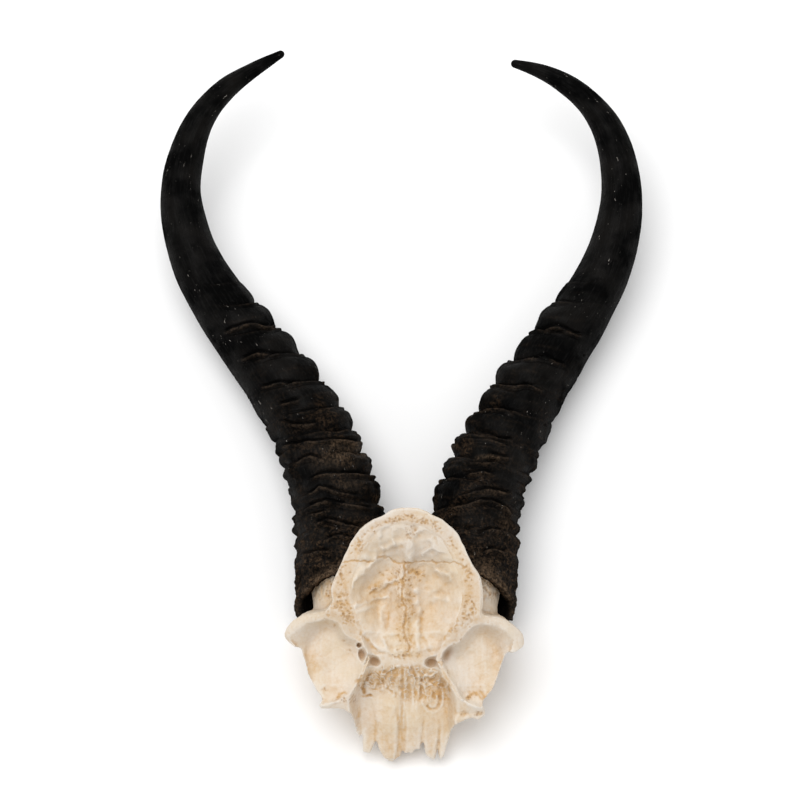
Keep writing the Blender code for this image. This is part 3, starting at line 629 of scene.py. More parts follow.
def creaseRelief(horn, angle, points):
    # short crisp creases that arch over the open side, each with a low lip below it
    seed = horn["seed"]
    x = points[:, 0] + 0.6 * perlin(points, 5.0, seed + 20)
    y = points[:, 1] + 0.7 * perlin(points, 6.0, seed + 21) + 0.25 * perlin(points, 2.0, seed + 22)
    rise, grooveShade, edge = np.zeros(len(x)), np.zeros(len(x)), np.zeros(len(x))
    for line in horn["creases"]:
        levels = np.interp(x, [p[0] for p in line], [p[1] for p in line])
        ends = smoothStep((x - line[0][0]) / 3.0 + 0.5) * smoothStep((line[-1][0] - x) / 3.0 + 0.5)
        ends = ends * (np.sin(angle) > -0.1)
        lip = fade(y - levels + 1.3, 0.7)
        rise += ends * (1.0 * lip - 0.5 * fade(y - levels + 2.7, 0.6))
        rise -= ends * 1.6 * fade(y - levels, 0.5)
        # painted shade in each crease
        grooveShade = np.maximum(grooveShade, ends * fade(y - levels, 0.5))
        edge = np.maximum(edge, ends * lip)
    return rise, grooveShade, edge


def frayedRim(angle):
    return (0.8 * np.sin(3.0 * angle + 0.6) + 0.5 * np.sin(7.0 * angle)
            + 0.35 * np.sin(19.0 * angle + 1.0) * np.sin(5.0 * angle) + 0.2 * np.sin(37.0 * angle))


def hornSkin(horn, line, q, angle):
    # the outside: rings, then wrinkles, crumbled base, worn flats and nicks
    seed = horn["seed"]
    radius = halfWidth(line, q)
    s = q + radius * ringSlant(q, angle)
    s = np.minimum(s + frayedRim(angle) * smoothStep((3.0 - q) / 3.0), line["total"])
    radius = halfWidth(line, s) - hornShape["slack"]
    flat = hornRing(line, s, angle, radius)
    relief, grooveShade, lip = ringRelief(horn, q, angle, flat)
    rise, crease, edge = creaseRelief(horn, angle, flat)
    base = smoothStep((46.0 - q) / 42.0)
    relief = relief + rise
    grooveShade = np.maximum(grooveShade, crease)
    lip = np.maximum(lip, edge) * limit(0.6 + 1.3 * perlin(flat, 5.0, seed + 13))
    # small knobs down the outer edge, at half the pitch of the rings
    place = q + 3.4 * perlin(flat, 12.0, seed + 10)
    knob = (0.5 + 0.5 * np.cos(2.0 * math.pi * place / hornShape["knobPitch"])) ** 0.7
    knob = knob * np.clip(0.9 + 1.3 * perlin(flat, 8.0, seed + 15), 0.4, 1.3)
    outer = limit(np.cos(angle)) ** 1.5
    outer = outer * smoothStep((88.0 - q) / 20.0) * smoothStep((q - 6.0) / 8.0)
    relief = relief + outer * (1.45 * knob - 0.6)
    # wrinkles across, flakes beside the rim and a crumbled base
    wrinkle = perlin(stack(flat[:, 0] / 3.5, flat[:, 1] / 3.5, q), 3.0, seed + 4)
    flakes = perlin(stack(flat[:, 0] / 2.6, flat[:, 1] / 2.6, q), 1.25, seed + 7)
    crumb = perlin(flat, 2.4, seed + 5) + 0.6 * perlin(flat, 1.2, seed + 6)
    lumps = perlin(flat, 17.0, seed + 8)
    dents = perlin(flat, 7.0, seed + 11)
    relief = relief + wrinkle * 0.55 * smoothStep((150.0 - q) / 90.0) + lumps * 0.45
    relief = relief + 0.5 * dents * smoothStep((130.0 - q) / 80.0)
    relief = relief + base * (0.42 * crumb + 0.6 * flakes)
    relief = relief + 0.07 * perlin(stack(flat[:, 0] * 0.9, flat[:, 1] * 0.9, q * 0.08), 1.0, seed + 9)
    nicks = np.zeros(len(q))
    for x, y, wide in horn["nicks"]:
        nicks += spot(flat[:, 0], flat[:, 1], x, y, wide, wide) * (np.sin(angle) > 0.0)
    relief = relief - 1.1 * nicks
    # the tip closes to a round end
    fromTip = limit((line["total"] - s) / hornShape["tipRound"])
    radius = radius + relief * smoothStep((line["total"] - 2.0 - s) / 12.0)
    radius = radius * np.sqrt(fromTip * (2.0 - fromTip))
    patches = np.zeros(len(q))
    for *place, level in horn["wornPatches"]:
        patches += level * spot(flat[:, 0], flat[:, 1], *place) * (np.sin(angle) > -0.2)
    for arc in horn["wornArcs"]:
        patches += 0.6 * fade(distanceTo(flat[:, 0], flat[:, 1], arc), 0.8) * (np.sin(angle) > 0.0)
    chipped = limit(0.3 + 1.6 * perlin(flat, 2.4, seed + 14))
    patches += 0.7 * smoothStep((2.4 - q) / 2.0) * chipped
    lower = smoothStep((140.0 - q) / 90.0)
    medial = smoothStep((0.4 - np.cos(angle)) / 1.2)
    drifts = limit(0.1 + 2.2 * perlin(flat, 9.0, seed + 12)) * (0.3 + 0.7 * medial)
    dust = lower * (0.3 * lip + 0.3 * limit(wrinkle + 0.05) + 0.55 * drifts)
    dust = dust + base * (0.2 + 1.0 * limit(crumb) + 0.6 * limit(flakes))
    dust = dust + smoothStep((2.5 - q) / 2.5) * 0.3
    marks = [limit(mark) for mark in (grooveShade, lip, dust, patches)]
    return hornRing(line, s, angle, radius), marks, s, radius


def buildSheath(horn):
    line = hornLine(horn)
    inside = np.arange(hornShape["pocketEnd"], 0.0, -hornShape["pocketStep"])
    ringed = np.arange(0.0, hornShape["ringedEnd"], hornShape["ringedStep"])
    ringedEnd, bareEnd = hornShape["ringedEnd"], line["total"] - hornShape["tipLength"]
    bare = np.linspace(ringedEnd, bareEnd, round((bareEnd - ringedEnd) / hornShape["bareStep"]))
    tip = line["total"] - np.array(hornShape["tipRows"])
    outside = np.concatenate((ringed, bare, tip))
    rows = 1 + len(inside) + 2 + len(outside)
    columns = hornShape["around"]
    bpy.ops.mesh.primitive_grid_add(x_subdivisions=columns, y_subdivisions=rows - 1, size=1.0)
    piece = bpy.context.object
    piece.name = horn["name"]
    start = getPoints(piece)
    column = np.rint((start[:, 0] + 0.5) * columns)
    row = np.rint((start[:, 1] + 0.5) * (rows - 1)).astype(int)
    angle = 1.5 * math.pi + 2.0 * math.pi * column / columns
    # rows: closed end, pocket, two over the rim, then the outside up to the tip
    isInside = row < 1 + len(inside) + 1
    station = np.concatenate(([hornShape["pocketEnd"] + 1.0], inside, [0.0], [0.0], outside))[row]
    points = np.zeros((len(start), 3))
    marks = np.zeros((4, len(start)))
    s = station.copy()
    radius = np.ones(len(start))
    out = ~isInside
    points[out], marks[:, out], s[out], radius[out] = hornSkin(horn, line, station[out], angle[out])
    # the pocket follows the ragged rim where it opens
    q, turn = station[isInside], angle[isInside]
    half = halfWidth(line, q)
    shifted = q + (half * ringSlant(0.0, turn) + frayedRim(turn)) * smoothStep((14.0 - q) / 14.0)
    hollow = np.maximum(halfWidth(line, shifted) - pocketWall(shifted), 0.4)
    hollow = hollow - hornShape["slack"] * smoothStep((10.0 - q) / 10.0)
    hollow = np.where(row[isInside] == 0, 0.0, hollow)
    points[isInside] = hornRing(line, shifted, turn, hollow)
    marks[2, isInside] = 0.08
    s[isInside] = shifted
    radius[isInside] = hollow
    setPoints(piece, points)
    paint(piece, {"grooveShade": marks[0], "lip": marks[1], "dust": marks[2], "patch": marks[3]})
    flow = piece.data.attributes.new("flow", "FLOAT_VECTOR", "POINT")
    around = stack(radius * np.cos(angle), radius * np.sin(angle), s + hornShape["pocketShift"] * isInside)
    flow.data.foreach_set("vector", np.ascontiguousarray(around, dtype=np.float32).ravel())
    editWhole(piece, lambda: bpy.ops.mesh.remove_doubles(threshold=hornShape["merge"]))
    finishPiece(piece, hornMaterial(horn["name"] + "Keratin"))
    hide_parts(horn["node"])
    print("horn sheath done:", horn["name"])
    return line


leftLine = buildSheath(leftHorn)
rightLine = buildSheath(rightHorn)


# the bone plate

plate = {
    "outline": [  # seen square to the saw cut, crown first, round by the left side
        (0, 40.5), (-5, 39.5), (-8, 37.5), (-13, 35), (-17, 32.5), (-21, 28.5), (-24, 23), (-26.5, 17.5),
        (-28.5, 13), (-31.5, 5.5), (-31.5, -1.5), (-34, -4.5), (-38.5, -5.5), (-43, -6.5), (-46.5, -8),
        (-50.5, -11.5), (-52, -16), (-51, -18), (-47, -21), (-45.5, -21.5), (-44, -25.5), (-42.5, -30.5),
        (-41, -35), (-38.5, -40),
    ],
    "outlineBack": [
        (39.5, -40), (41, -36), (42.5, -32), (44, -27.5), (46, -23.5), (49, -23), (53.5, -19.5),
        (53.5, -17.5), (51.5, -14), (49, -11.5), (42.5, -8), (35, -6), (35.5, 0), (34, 9.5), (29.5, 17.5),
        (26.5, 24), (24, 29), (20, 33), (15.5, 36), (12.5, 37.5), (7.5, 40),
    ],
    "brokenEdge": [  # the jagged nasal end, left to right
        (-36, -43), (-35.6, -44.5), (-37.2, -46.8), (-36, -48.2), (-33.6, -48.2), (-29.2, -48),
        (-26.2, -48.4), (-23.2, -50.4), (-22, -53), (-21.4, -56.4), (-20.6, -60), (-19.4, -62.4),
        (-18.8, -60.2), (-17.9, -61.8), (-18, -66), (-17.7, -68.9), (-14.7, -69.6), (-13.4, -66.5),
        (-12.7, -64.4), (-12.2, -63.9), (-11.6, -64.3), (-10.4, -68.3), (-8.6, -71.3), (-6.1, -73.4),
        (-4.5, -73.9), (-3.1, -71.8), (-1.2, -70.9), (-0.8, -68.7), (-0.1, -67.9), (0.9, -69.6), (2.4, -69),
        (4, -69.6), (5.4, -67.7), (7.6, -67.6), (8, -65.8), (8.7, -64.1), (9.4, -65.4), (10, -68.8),
        (11, -71), (13.3, -72.5), (14.2, -72.5), (14.9, -68.7), (15.6, -64), (15.9, -70.4), (16.8, -72.4),
        (18.4, -70.8), (19.7, -65.3), (21.4, -58.5), (23.1, -55.5), (27.3, -53.2), (30.5, -52.2),
        (33.4, -53.3), (36.2, -50.9), (36.1, -49.6), (35, -46.4), (35.4, -44.3), (37, -42.8),
    ],
    "brainEdge": [
        (1, 35.5), (-7, 34), (-13, 31), (-17.5, 25.8), (-20.5, 19.5), (-22.5, 13), (-24, 7.5), (-24.3, 1),
        (-22.8, -4.5), (-20.5, -10.5), (-17.2, -17), (-12, -22.4), (0, -23.2), (10, -22.8), (16.4, -20.8),
        (20, -16), (23.5, -11.5), (26.2, -6), (27.6, 1.5), (27, 9), (24.8, 15.8), (21.8, 22.2), (18, 28.2),
        (12.5, 32.2), (7.5, 34.6),
    ],
    "leftOrbit": {
        "crease": [(-50.5, -16.5), (-46.5, -13.0), (-42.5, -10.0), (-38.5, -8.0), (-33.5, -6.5),
                   (-27.0, -8.5), (-23.5, -13.5)],
        "crest": [(-23.5, -13.5), (-20.0, -17.5), (-16.5, -22.0), (-16.5, -26.5), (-18.0, -32.0),
                  (-20.5, -37.5), (-24.0, -41.5), (-29.0, -44.5), (-35.5, -46.0)],
        "freeEdge": [(-35.5, -44.5), (-39.5, -40.0), (-42.0, -33.0), (-44.0, -26.0), (-46.5, -21.5)],
    },
    "rightOrbit": {
        "crease": [(49.0, -17.0), (46.0, -14.0), (42.0, -11.5), (38.0, -9.5), (34.0, -9.0),
                   (30.0, -10.0), (26.5, -13.0), (23.0, -16.5)],
        "crest": [(23.0, -16.5), (17.0, -23.0), (16.5, -26.0), (17.5, -30.0), (20.0, -34.5),
                  (23.0, -39.0), (25.5, -43.0), (29.0, -45.5), (34.5, -47.5)],
        "freeEdge": [(35.5, -44.5), (40.0, -39.5), (42.5, -33.0), (44.5, -27.0), (47.0, -23.0)],
    },
    "midCrest": [(2.0, 37.0), (3.0, 29.0), (2.0, 20.0), (0.5, 14.0), (-0.5, 5.0), (1.0, -5.0),
                 (0.5, -15.0), (2.5, -24.0)],
    "bowls": [(-12.0, -2.5, 8.5, 11.0, 4.2), (14.5, -2.0, 8.5, 11.5, 4.2),
              (-9.0, 28.5, 5.5, 3.6, -1.5), (12.0, 27.0, 5.5, 4.2, -1.5)],
    "lobes": [  # long nasal plates: left, right, top and rise
        (-23.4, -19.4, -50.0, 0.5), (-19.0, -12.5, -50.0, 0.9), (-12.3, -2.4, -42.0, 1.6),
        (0.8, 8.3, -44.0, 1.1), (8.6, 15.7, -50.0, 1.3), (16.1, 22.9, -50.0, 0.8),
    ],
    "holes": [(-19.5, -20.2, 1.4, 1.3, 0.0), (-18.3, -24.4, 2.0, 3.0, 8.0),
              (-12.7, -27.6, 3.0, 2.4, -35.0), (12.7, -28.2, 3.0, 2.5, 12.0)],
    "recess": (19.4, -24.3, 1.9, 3.9, -24.0),
    "domes": [(0.5, -4.0, 35.0, 46.0, 23.0), (0.5, -24.0, 27.0, 60.0, 37.0),
              (0.5, -46.0, 25.0, 42.0, 34.5), (-33.0, -25.0, 25.0, 26.0, 18.0),
              (34.0, -26.0, 25.0, 26.0, 18.0), (-27.0, -4.0, 20.0, 23.0, 44.0),
              (29.0, -4.0, 20.0, 23.0, 44.0)],
    "coronal": [(-27.0, 16.4), (-24.6, 16.7), (-21.3, 17.2), (-17.3, 17.0), (-16.1, 16.8),
                (-12.6, 17.2), (-10.6, 18.4), (-6.5, 18.5), (-5.0, 17.9), (-2.4, 15.9),
                (-0.9, 15.7), (2.7, 15.9), (5.2, 16.4), (10.2, 16.4), (12.9, 16.9), (15.4, 15.9),
                (18.5, 16.7), (21.0, 15.9), (23.1, 16.7), (27.1, 14.1)],
    "frontal": [(0.9, 15.7), (0.5, 10.6), (-0.1, 7.0), (-0.4, 2.8), (-0.4, -0.7), (1.2, -3.8),
                (1.3, -7.4), (0.5, -12.2), (1.3, -17.6), (2.7, -20.0), (2.4, -22.6)],
    "blank": (120.0, 128.0, -16.0),  # width, height and middle of the sheets that it is cut from
    "brainDeep": 7.6, "orbitDeep": 11.5, "thickness": 3.4, "sideThinning": 1.0, "leastThickness": 2.4,
    "brainRun": 16.0, "crestRise": 3.6, "crownRise": 3.6,  # run of the brain's walls, rises of its floor
    "holeNarrow": 0.5, "holeWide": 1.75, "holeDeep": 9.0,
    "outerStep": 0.8, "innerStep": 0.6, "voxel": 0.44, "keepShare": 0.46, "wornRounds": 60,
}


def quarterBowl(value):
    t = limit(value)
    return np.sqrt(1.0 - (1.0 - t) ** 2)


def softMax(first, second, width):
    gap = limit(1.0 - np.abs(first - second) / width)
    return np.maximum(first, second) + gap * gap * width * 0.25


def roundedLine(points, parts):
    # smooth open line through the points
    points = np.array(points)
    run = np.concatenate(([0.0], np.cumsum(np.hypot(*np.diff(points, axis=0).T))))
    fine = np.linspace(0.0, run[-1], parts)
    return list(zip(smoothThrough(points[:, 0], run, fine), smoothThrough(points[:, 1], run, fine)))


def plateOutline():
    sides = plate["outlineBack"] + plate["outline"]
    smooth = roundedLine(sides, 240)
    broken = []
    for (ax, ay), (bx, by) in zip(plate["brokenEdge"][:-1], plate["brokenEdge"][1:]):
        broken += [(ax, ay), (0.5 * (ax + bx), 0.5 * (ay + by))]
    broken = np.array(broken + [plate["brokenEdge"][-1]])
    broken[:, 0] += 0.25 * perlin(stack(*broken.T, 0.0), 1.7, 21)
    rough = stack(*np.array(smooth).T, 0.0)
    rough[:, 0] += 0.35 * perlin(rough, 3.6, 22)
    rough[:, 1] += 0.35 * perlin(rough, 3.6, 23)
    return [tuple(point) for point in rough[:, :2]] + [tuple(point) for point in broken]


def softWall(value):
    # starts gently, then falls and levels out
    return np.sin(0.5 * math.pi * limit(value)) ** 1.25


def brainInset(x, y):
    # how far inside the edge of the brain's hollow each place lies, less than 0 outside it
    edge = plate["brainLine"]
    away = distanceTo(x, y, edge, True)
    return np.where(insideOf(x, y, edge), away, -away) - 0.8


def brainDepth(x, y):
    run = plate["brainRun"] * np.interp(y, (-24.0, -8.0, 14.0, 26.0), (1.1, 1.0, 1.0, 0.85))
    wobble = 1.3 * np.sin(x / 3.1 + 0.7) * np.sin(y / 3.7) + 0.7 * np.sin((x - y) / 1.9)
    inner = np.maximum(brainInset(x, y), 0.0) * (1.0 + 0.12 * wobble)
    share = softWall(inner / run)
    depth = plate["brainDeep"] * share + 0.35 * smoothStep(inner / 2.0)
    for *place, extra in plate["bowls"]:
        depth = depth + share * extra * spot(x, y, *place)
    crest = fade(distanceTo(x, y, plate["midCrest"]), 4.0)
    depth = depth - share * crest * plate["crestRise"]
    crownSide = smoothStep((y - 18.5 + 0.25 * np.abs(x)) / 9.0 + 0.5)
    return depth - share * crownSide * plate["crownRise"]


def orbitDepth(x, y, orbit):
    line = orbit["crease"] + orbit["crest"][1:] + orbit["freeEdge"]
    run = 7.5 + 9.0 * smoothStep((np.abs(x) - 35.0) / 13.0)
    fromRim = np.sin(0.5 * math.pi * limit(distanceTo(x, y, orbit["crease"]) / run)) ** 1.2
    fromWalls = quarterBowl(distanceTo(x, y, orbit["crest"]) / 14.0)
    fromEdge = quarterBowl(distanceTo(x, y, orbit["freeEdge"]) / 13.0)
    depth = plate["orbitDeep"] * fromRim * fromWalls * (0.35 + 0.65 * fromEdge)
    return np.where(insideOf(x, y, line), depth, 0.0)


def noseShare(x, y):
    half = np.interp(y, (-64.0, -54.0, -46.0, -42.5, -38.5, -34.0, -26.0, -16.5),
                     (26.0, 24.0, 24.5, 24.0, 22.5, 19.5, 16.5, 21.0))
    return smoothStep((half - np.abs(x)) / 5.0) * smoothStep((-9.0 - y) / 8.0)


def roundOff(x, y, reach, blunt=0.0):
    # how much the edge of the bone is rounded away at each place
    away = np.clip(reach - distanceTo(x, y, plate["edgeLine"], True), 0.0, reach)
    return reach + blunt - np.sqrt((reach + blunt) ** 2 - away ** 2)


def edgeReach(x, y):
    rim = smoothStep((np.abs(x) - 31.0) / 5.0) * smoothStep((y + 24.0) / 5.0)
    return 0.35 + 2.9 * rim + 0.9 * smoothStep((-28.0 - y) / 6.0)


def innerHeight(x, y):
    rim = 3.0 + np.interp(y, (-50.0, -38.0), (-7.0, 0.0))
    bow = 4.0 * limit(1.0 - (x / 14.0) ** 2)
    nose = np.interp(y + bow, (-76.0, -68.0, -60.0, -52.0, -44.0, -36.0, -31.0, -26.0, -20.0, -9.0),
                     (-25.0, -23.5, -20.5, -16.5, -12.5, -10.5, -7.5, -5.0, -3.0, 0.3))
    height = rim + (nose - rim) * noseShare(x, y)
    side = limit((np.abs(x) - 35.0) / 8.0)
    height = height - 3.5 * smoothStep(side) - 0.08 * np.clip(np.abs(x) - 43.0, 0.0, 20.0)
    side = x + 0.5 * np.sin(y / 3.9 + 1.0) + 0.3 * np.sin(y / 1.7)
    height = height + 2.6 * smoothStep((-42.0 - y) / 14.0) * smoothStep((24.5 - np.abs(side)) / 2.0)
    for left, right, top, rise in plate["lobes"]:
        across = np.clip(2.0 * (side - left) / (right - left) - 1.0, -1.0, 1.0)
        height = height + rise * np.sqrt(1.0 - across ** 6) * smoothStep((top - y) / 18.0)
    height = height - np.maximum(height - 0.05, 0.0) * smoothStep((brainInset(x, y) + 2.0) / 2.0)
    height = height - brainDepth(x, y)
    return height - orbitDepth(x, y, plate["leftOrbit"]) - orbitDepth(x, y, plate["rightOrbit"])


def openSideHeight(x, y):
    # rounded only where the bone wasn't sawn
    height = innerHeight(x, y)
    free = smoothStep((np.abs(x) - 31.0) / 4.0) + smoothStep((-40.0 - y) / 5.0)
    free = np.minimum(free, 1.0)
    height = height - np.maximum(height, 0.0) * free
    return height - roundOff(x, y, edgeReach(x, y)) * free


def outerHeight(x, y):
    depth = np.zeros(x.shape)
    for centreX, centreY, halfX, halfY, tall in plate["domes"]:
        reach = np.abs((x - centreX) / halfX) ** 2.4 + np.abs((y - centreY) / halfY) ** 2.4
        depth = softMax(depth, tall * limit(1.0 - reach) ** (1.0 / 2.4), 4.0)
    thickness = plate["thickness"] - plate["sideThinning"] * smoothStep((np.abs(x) - 26.0) / 8.0)
    inner = innerHeight(x, y)
    reach = np.interp(y, (-56.0, -30.0), (2.5, 8.0))
    bottom = softMax(depth, thickness - inner, 2.0) - roundOff(x, y, reach, 0.9)
    bottom = softMax(bottom, plate["leastThickness"] - np.minimum(inner, 0.0), 2.0)
    return roundOff(x, y, np.full(x.shape, 1.2)) - bottom


def raiseAll(height):
    bpy.ops.mesh.extrude_region_move(TRANSFORM_OT_translate={"value": (0.0, 0.0, height)})


def heightBlock(name, heightOf, step, farHeight):
    # a sheet shaped by its height, then extruded to a level far side
    wide, tall, middleY = plate["blank"]
    bpy.ops.mesh.primitive_grid_add(x_subdivisions=round(wide / step),
                                    y_subdivisions=round(tall / step), size=1.0)
    block = bpy.context.object
    block.name = name
    sheet = getPoints(block)
    x, y = sheet[:, 0] * wide, sheet[:, 1] * tall + middleY
    setPoints(block, stack(x, y, heightOf(x, y)))

    def levelOff():
        raiseAll(0.001)
        bpy.ops.transform.resize(value=(1.0, 1.0, 0.0), center_override=(0.0, 0.0, farHeight))

    editWhole(block, levelOff)
    return block


def outlineBlock(line, low, high):
    block = meshObject("outlineBlock", [(x, y, low) for x, y in line], [list(range(len(line)))])
    editWhole(block, lambda: raiseAll(high - low), bpy.ops.mesh.quads_convert_to_tris)
    return block


def tubeOver(name, sections):
    # a closed skin over rings of the same number of points
    rings, around = len(sections), len(sections[0])
    faces = [[k * around + i, k * around + (i + 1) % around, (k + 1) * around + (i + 1) % around,
              (k + 1) * around + i] for k in range(rings - 1) for i in range(around)]
    faces += [list(range(around))[::-1], [(rings - 1) * around + i for i in range(around)]]
    tube = meshObject(name, np.concatenate(sections).tolist(), faces)
    editWhole(tube)
    return tube


def fullTurn(around):
    return 2.0 * math.pi * np.arange(around) / around


def sheathRoom(line):
    # the space that a sheath takes up beside the skull
    sections = []
    angle = fullTurn(32)
    for q in (-1.8, 12.0, 20.0, 30.0, 40.0, 50.0, 60.0):
        s = np.full(len(angle), q)
        half = float(halfWidth(line, q))
        if q <= 0.0:
            s = s + half * ringSlant(0.0, angle)
            s = s + 0.8 * np.sin(3.0 * angle + 0.6) + 0.5 * np.sin(7.0 * angle)
        room = 1.2 + profile("ring", q)
        sections.append(hornRing(line, s, angle, halfWidth(line, s) + room))
    return tubeOver("sheathRoom", sections)


def coreRing(line, s, angle):
    widest = float(halfWidth(line, max(s, 0.0)))
    widest -= hornShape["wall"] + hornShape["coreGap"] + float(wallGrowth(s))
    neck = 1.0 - float(smoothStep((s + 7.0) / 20.0))
    width = widest * (1.0 - 0.19 * neck)
    deep = widest * (1.0 - 0.12 * neck) * profile("deep", s)
    root = float(smoothStep((s + 26.0) / 16.0))
    centre, outward, inner = lineFrame(line, np.array([float(s)]))
    ring = width * np.cos(angle)[:, None] * outward + deep * np.sin(angle)[:, None] * inner
    return centre - outward * 1.6 * neck + root * ring


def hornCore(name, line, stations, around, tip):
    angle = fullTurn(around)
    sections = [coreRing(line, s, angle) for s in stations]
    if tip:
        end = sections[-1]
        centre, _, _ = lineFrame(line, np.array([stations[-1] + 4.0]))
        sections.append(0.6 * (end - end.mean(axis=0)) + centre)
    return tubeOver(name, sections)


# fine relief of the bone

spongyZones = [  # x, y, half sizes, turn, strength: open, spongy bone
    (-11.5, 33, 4, 1.7, 28, 0.8), (-4, 35.6, 4.5, 1.9, 18, 1), (2, 36.5, 4.5, 2, 0, 1),
    (8, 35, 4, 1.9, -15, 1), (14, 32.5, 3.5, 1.6, -38, 0.8), (3.4, 30.5, 3.2, 4.6, 0, 0.9),
    (-19, 22.5, 1.7, 6, -18, 0.7), (-15.5, 26, 2, 4, -30, 0.6), (22.4, 22.5, 1.5, 6, 24, 0.6),
    (25.3, 17.5, 1.4, 3, 24, 0.55), (29.2, 10.5, 2.2, 6.5, 10, 0.65), (29, -4.5, 3.2, 6, -8, 1),
    (-28, 10.5, 2.2, 5.5, -10, 0.6), (-27.5, 0.5, 3.2, 5, -20, 1), (-24.6, -6, 2.4, 4.8, 30, 1),
    (0.2, 10, 8.5, 5.5, 0, 0.7), (1.2, 1, 3.6, 7, 0, 0.62), (1.2, -10.5, 3.2, 9, 0, 0.62),
    (7, 11.5, 3.5, 3.2, 30, 0.7), (-11, 5, 5, 2, 12, 0.6), (1, -24.5, 8.5, 2.2, 0, 0.8),
    (-27, -44.2, 4, 1.6, 8, 1), (-22.2, -44.5, 1.6, 3.6, 0, 0.9), (-34.6, -40, 2.2, 1.4, 40, 0.7),
    (30, -43, 3.6, 1.3, 25, 1), (33.5, -50, 2.6, 1.6, 20, 0.9), (27, -50.5, 3, 1.6, 0, 0.7),
    (22.5, -13.5, 2.6, 2.2, 0, 0.6), (19.5, -32, 1.4, 5, 22, 0.5), (-18, -33.5, 1.6, 3.4, -20, 0.5),
]
warmSpots = [  # x, y, half sizes, turn, strength: yellowed bone
    (-12, 6, 7, 3, 20, 0.5), (-14, -8, 4, 9, 12, 0.4), (13, -10, 6, 8, 0, 0.42), (6.5, 10, 4.5, 4, 0, 0.5),
    (18, 4, 4, 5, 0, 0.25), (0.5, -4, 4.5, 15, 0, 0.4), (-36, -27, 6, 4.5, 0, 0.42),
    (-32, -38, 5, 3, 20, 0.3), (36, -30, 4.5, 8, -15, 0.5), (31, -38, 5, 4, 0, 0.45),
    (42.5, -24, 2, 7, -15, 0.4), (-43, -27, 1.6, 6, 12, 0.35), (-7.5, -66, 3.5, 7, 0, 0.42),
    (12, -64, 4, 7, 0, 0.4), (-15, -62, 2.6, 6, 0, 0.35), (3, -60, 3, 8, 0, 0.3),
    (-21, -52, 2.5, 5, 0, 0.4), (20, -50, 3, 7, 0, 0.45),
]
ridges = [  # line, width, rise of small crests
    ([(-10.6, 18.5), (-14.2, 15.4), (-17.3, 12.3), (-20.8, 9.6), (-22.6, 6.9)], 1.2, 1.2),
    ([(23, -17.1), (16.8, -23.3), (16.4, -26.4), (17.7, -30.4), (19.9, -34.8), (23.2, -39.4), (25.5, -43.2),
     (28.7, -46.1)], 0.9, 0.8),
    ([(-16.4, 18.5), (-10.2, 20.5), (-8, 22.5), (-4.4, 23.4), (-1.3, 25.4)], 1.9, 0.7),
    ([(-35.4, -46.7), (-31.8, -45.5), (-28.7, -45.1)], 0.8, 0.9),
    ([(2.9, 33), (3.3, 23.8), (2.9, 17.2)], 1.4, 0.6),
    ([(-9.8, 31.7), (-10.9, 27.2), (-9.2, 22.7)], 1, 1.1),
    ([(-9.2, 32.6), (-4.7, 34.2), (-0.2, 32.8)], 1, 0.7),
    ([(5.4, 29.4), (8.8, 32.4), (13.2, 31.2), (16.6, 27.2), (17.7, 22.7)], 1.1, 1.1),
    ([(8.8, 19.9), (13.2, 23.2), (17.7, 21.6)], 1, 1), ([(-4, 31), (-5.5, 27), (-3, 23.5)], 0.9, 0.7),
    ([(12.8, 26.9), (14.6, 23.8), (13.7, 20.7)], 1.2, 0.8), ([(19, 22.5), (19.5, 19)], 1, 0.7),
    ([(15.1, 13), (17.3, 11.7), (20.4, 9.5)], 1.2, 1), ([(11.6, -0.8), (17.8, 0.1), (21.8, 3.7)], 1.3, 0.6),
    ([(-15.5, 3.2), (-12, 5), (-8.4, 6.7), (-3.1, 8.3)], 0.9, 0.8),
    ([(-21.3, -3), (-16.9, -1), (-11.1, 0.5), (-6.6, 1.2)], 0.9, 0.7),
    ([(-19.1, -4.6), (-13.8, -3.4), (-10.2, -3.6)], 0.9, 0.5),
    ([(-8.9, 0.1), (-9.3, -7.4), (-9.8, -15), (-7.5, -20.7)], 1.3, 0.7),
    ([(6.2, 3.7), (6.7, -5.1), (5.8, -14), (6.7, -20.7)], 1.4, 0.8),
    ([(29.2, -41.6), (31.2, -40.6), (33.4, -40.4), (35.2, -41.4), (36, -43.4)], 0.7, -0.5),
    ([(29, -45.4), (31.2, -46.2), (33.6, -48.6)], 0.9, 0.8),
]
folds = [  # narrow dips between the crests
    [(-12, 2.7), (-8.4, 4.3), (-5.8, 5.8), (-2.7, 6.7)], [(-19.1, -1.3), (-13.8, 0.1), (-10.2, 1.2)],
    [(-5.3, 2.3), (-6.2, -5.2), (-7.5, -11.9)], [(-8.4, -16.6), (-6.6, -19.7), (-4.9, -23)],
    [(-19.9, -9.4), (-18.6, -14.7), (-14.6, -20), (-11.1, -23.1), (-8.4, -23.5)],
    [(8.9, -6), (8, -11.8), (8.7, -16.7), (10.7, -20.7), (12, -22.9)],
    [(21.7, -10.3), (19.9, -14.7), (16.8, -19.1), (14.8, -22.2)],
    [(-8.8, 19.3), (-7.5, 21.3), (-4, 22), (-0.9, 23.8)],
]
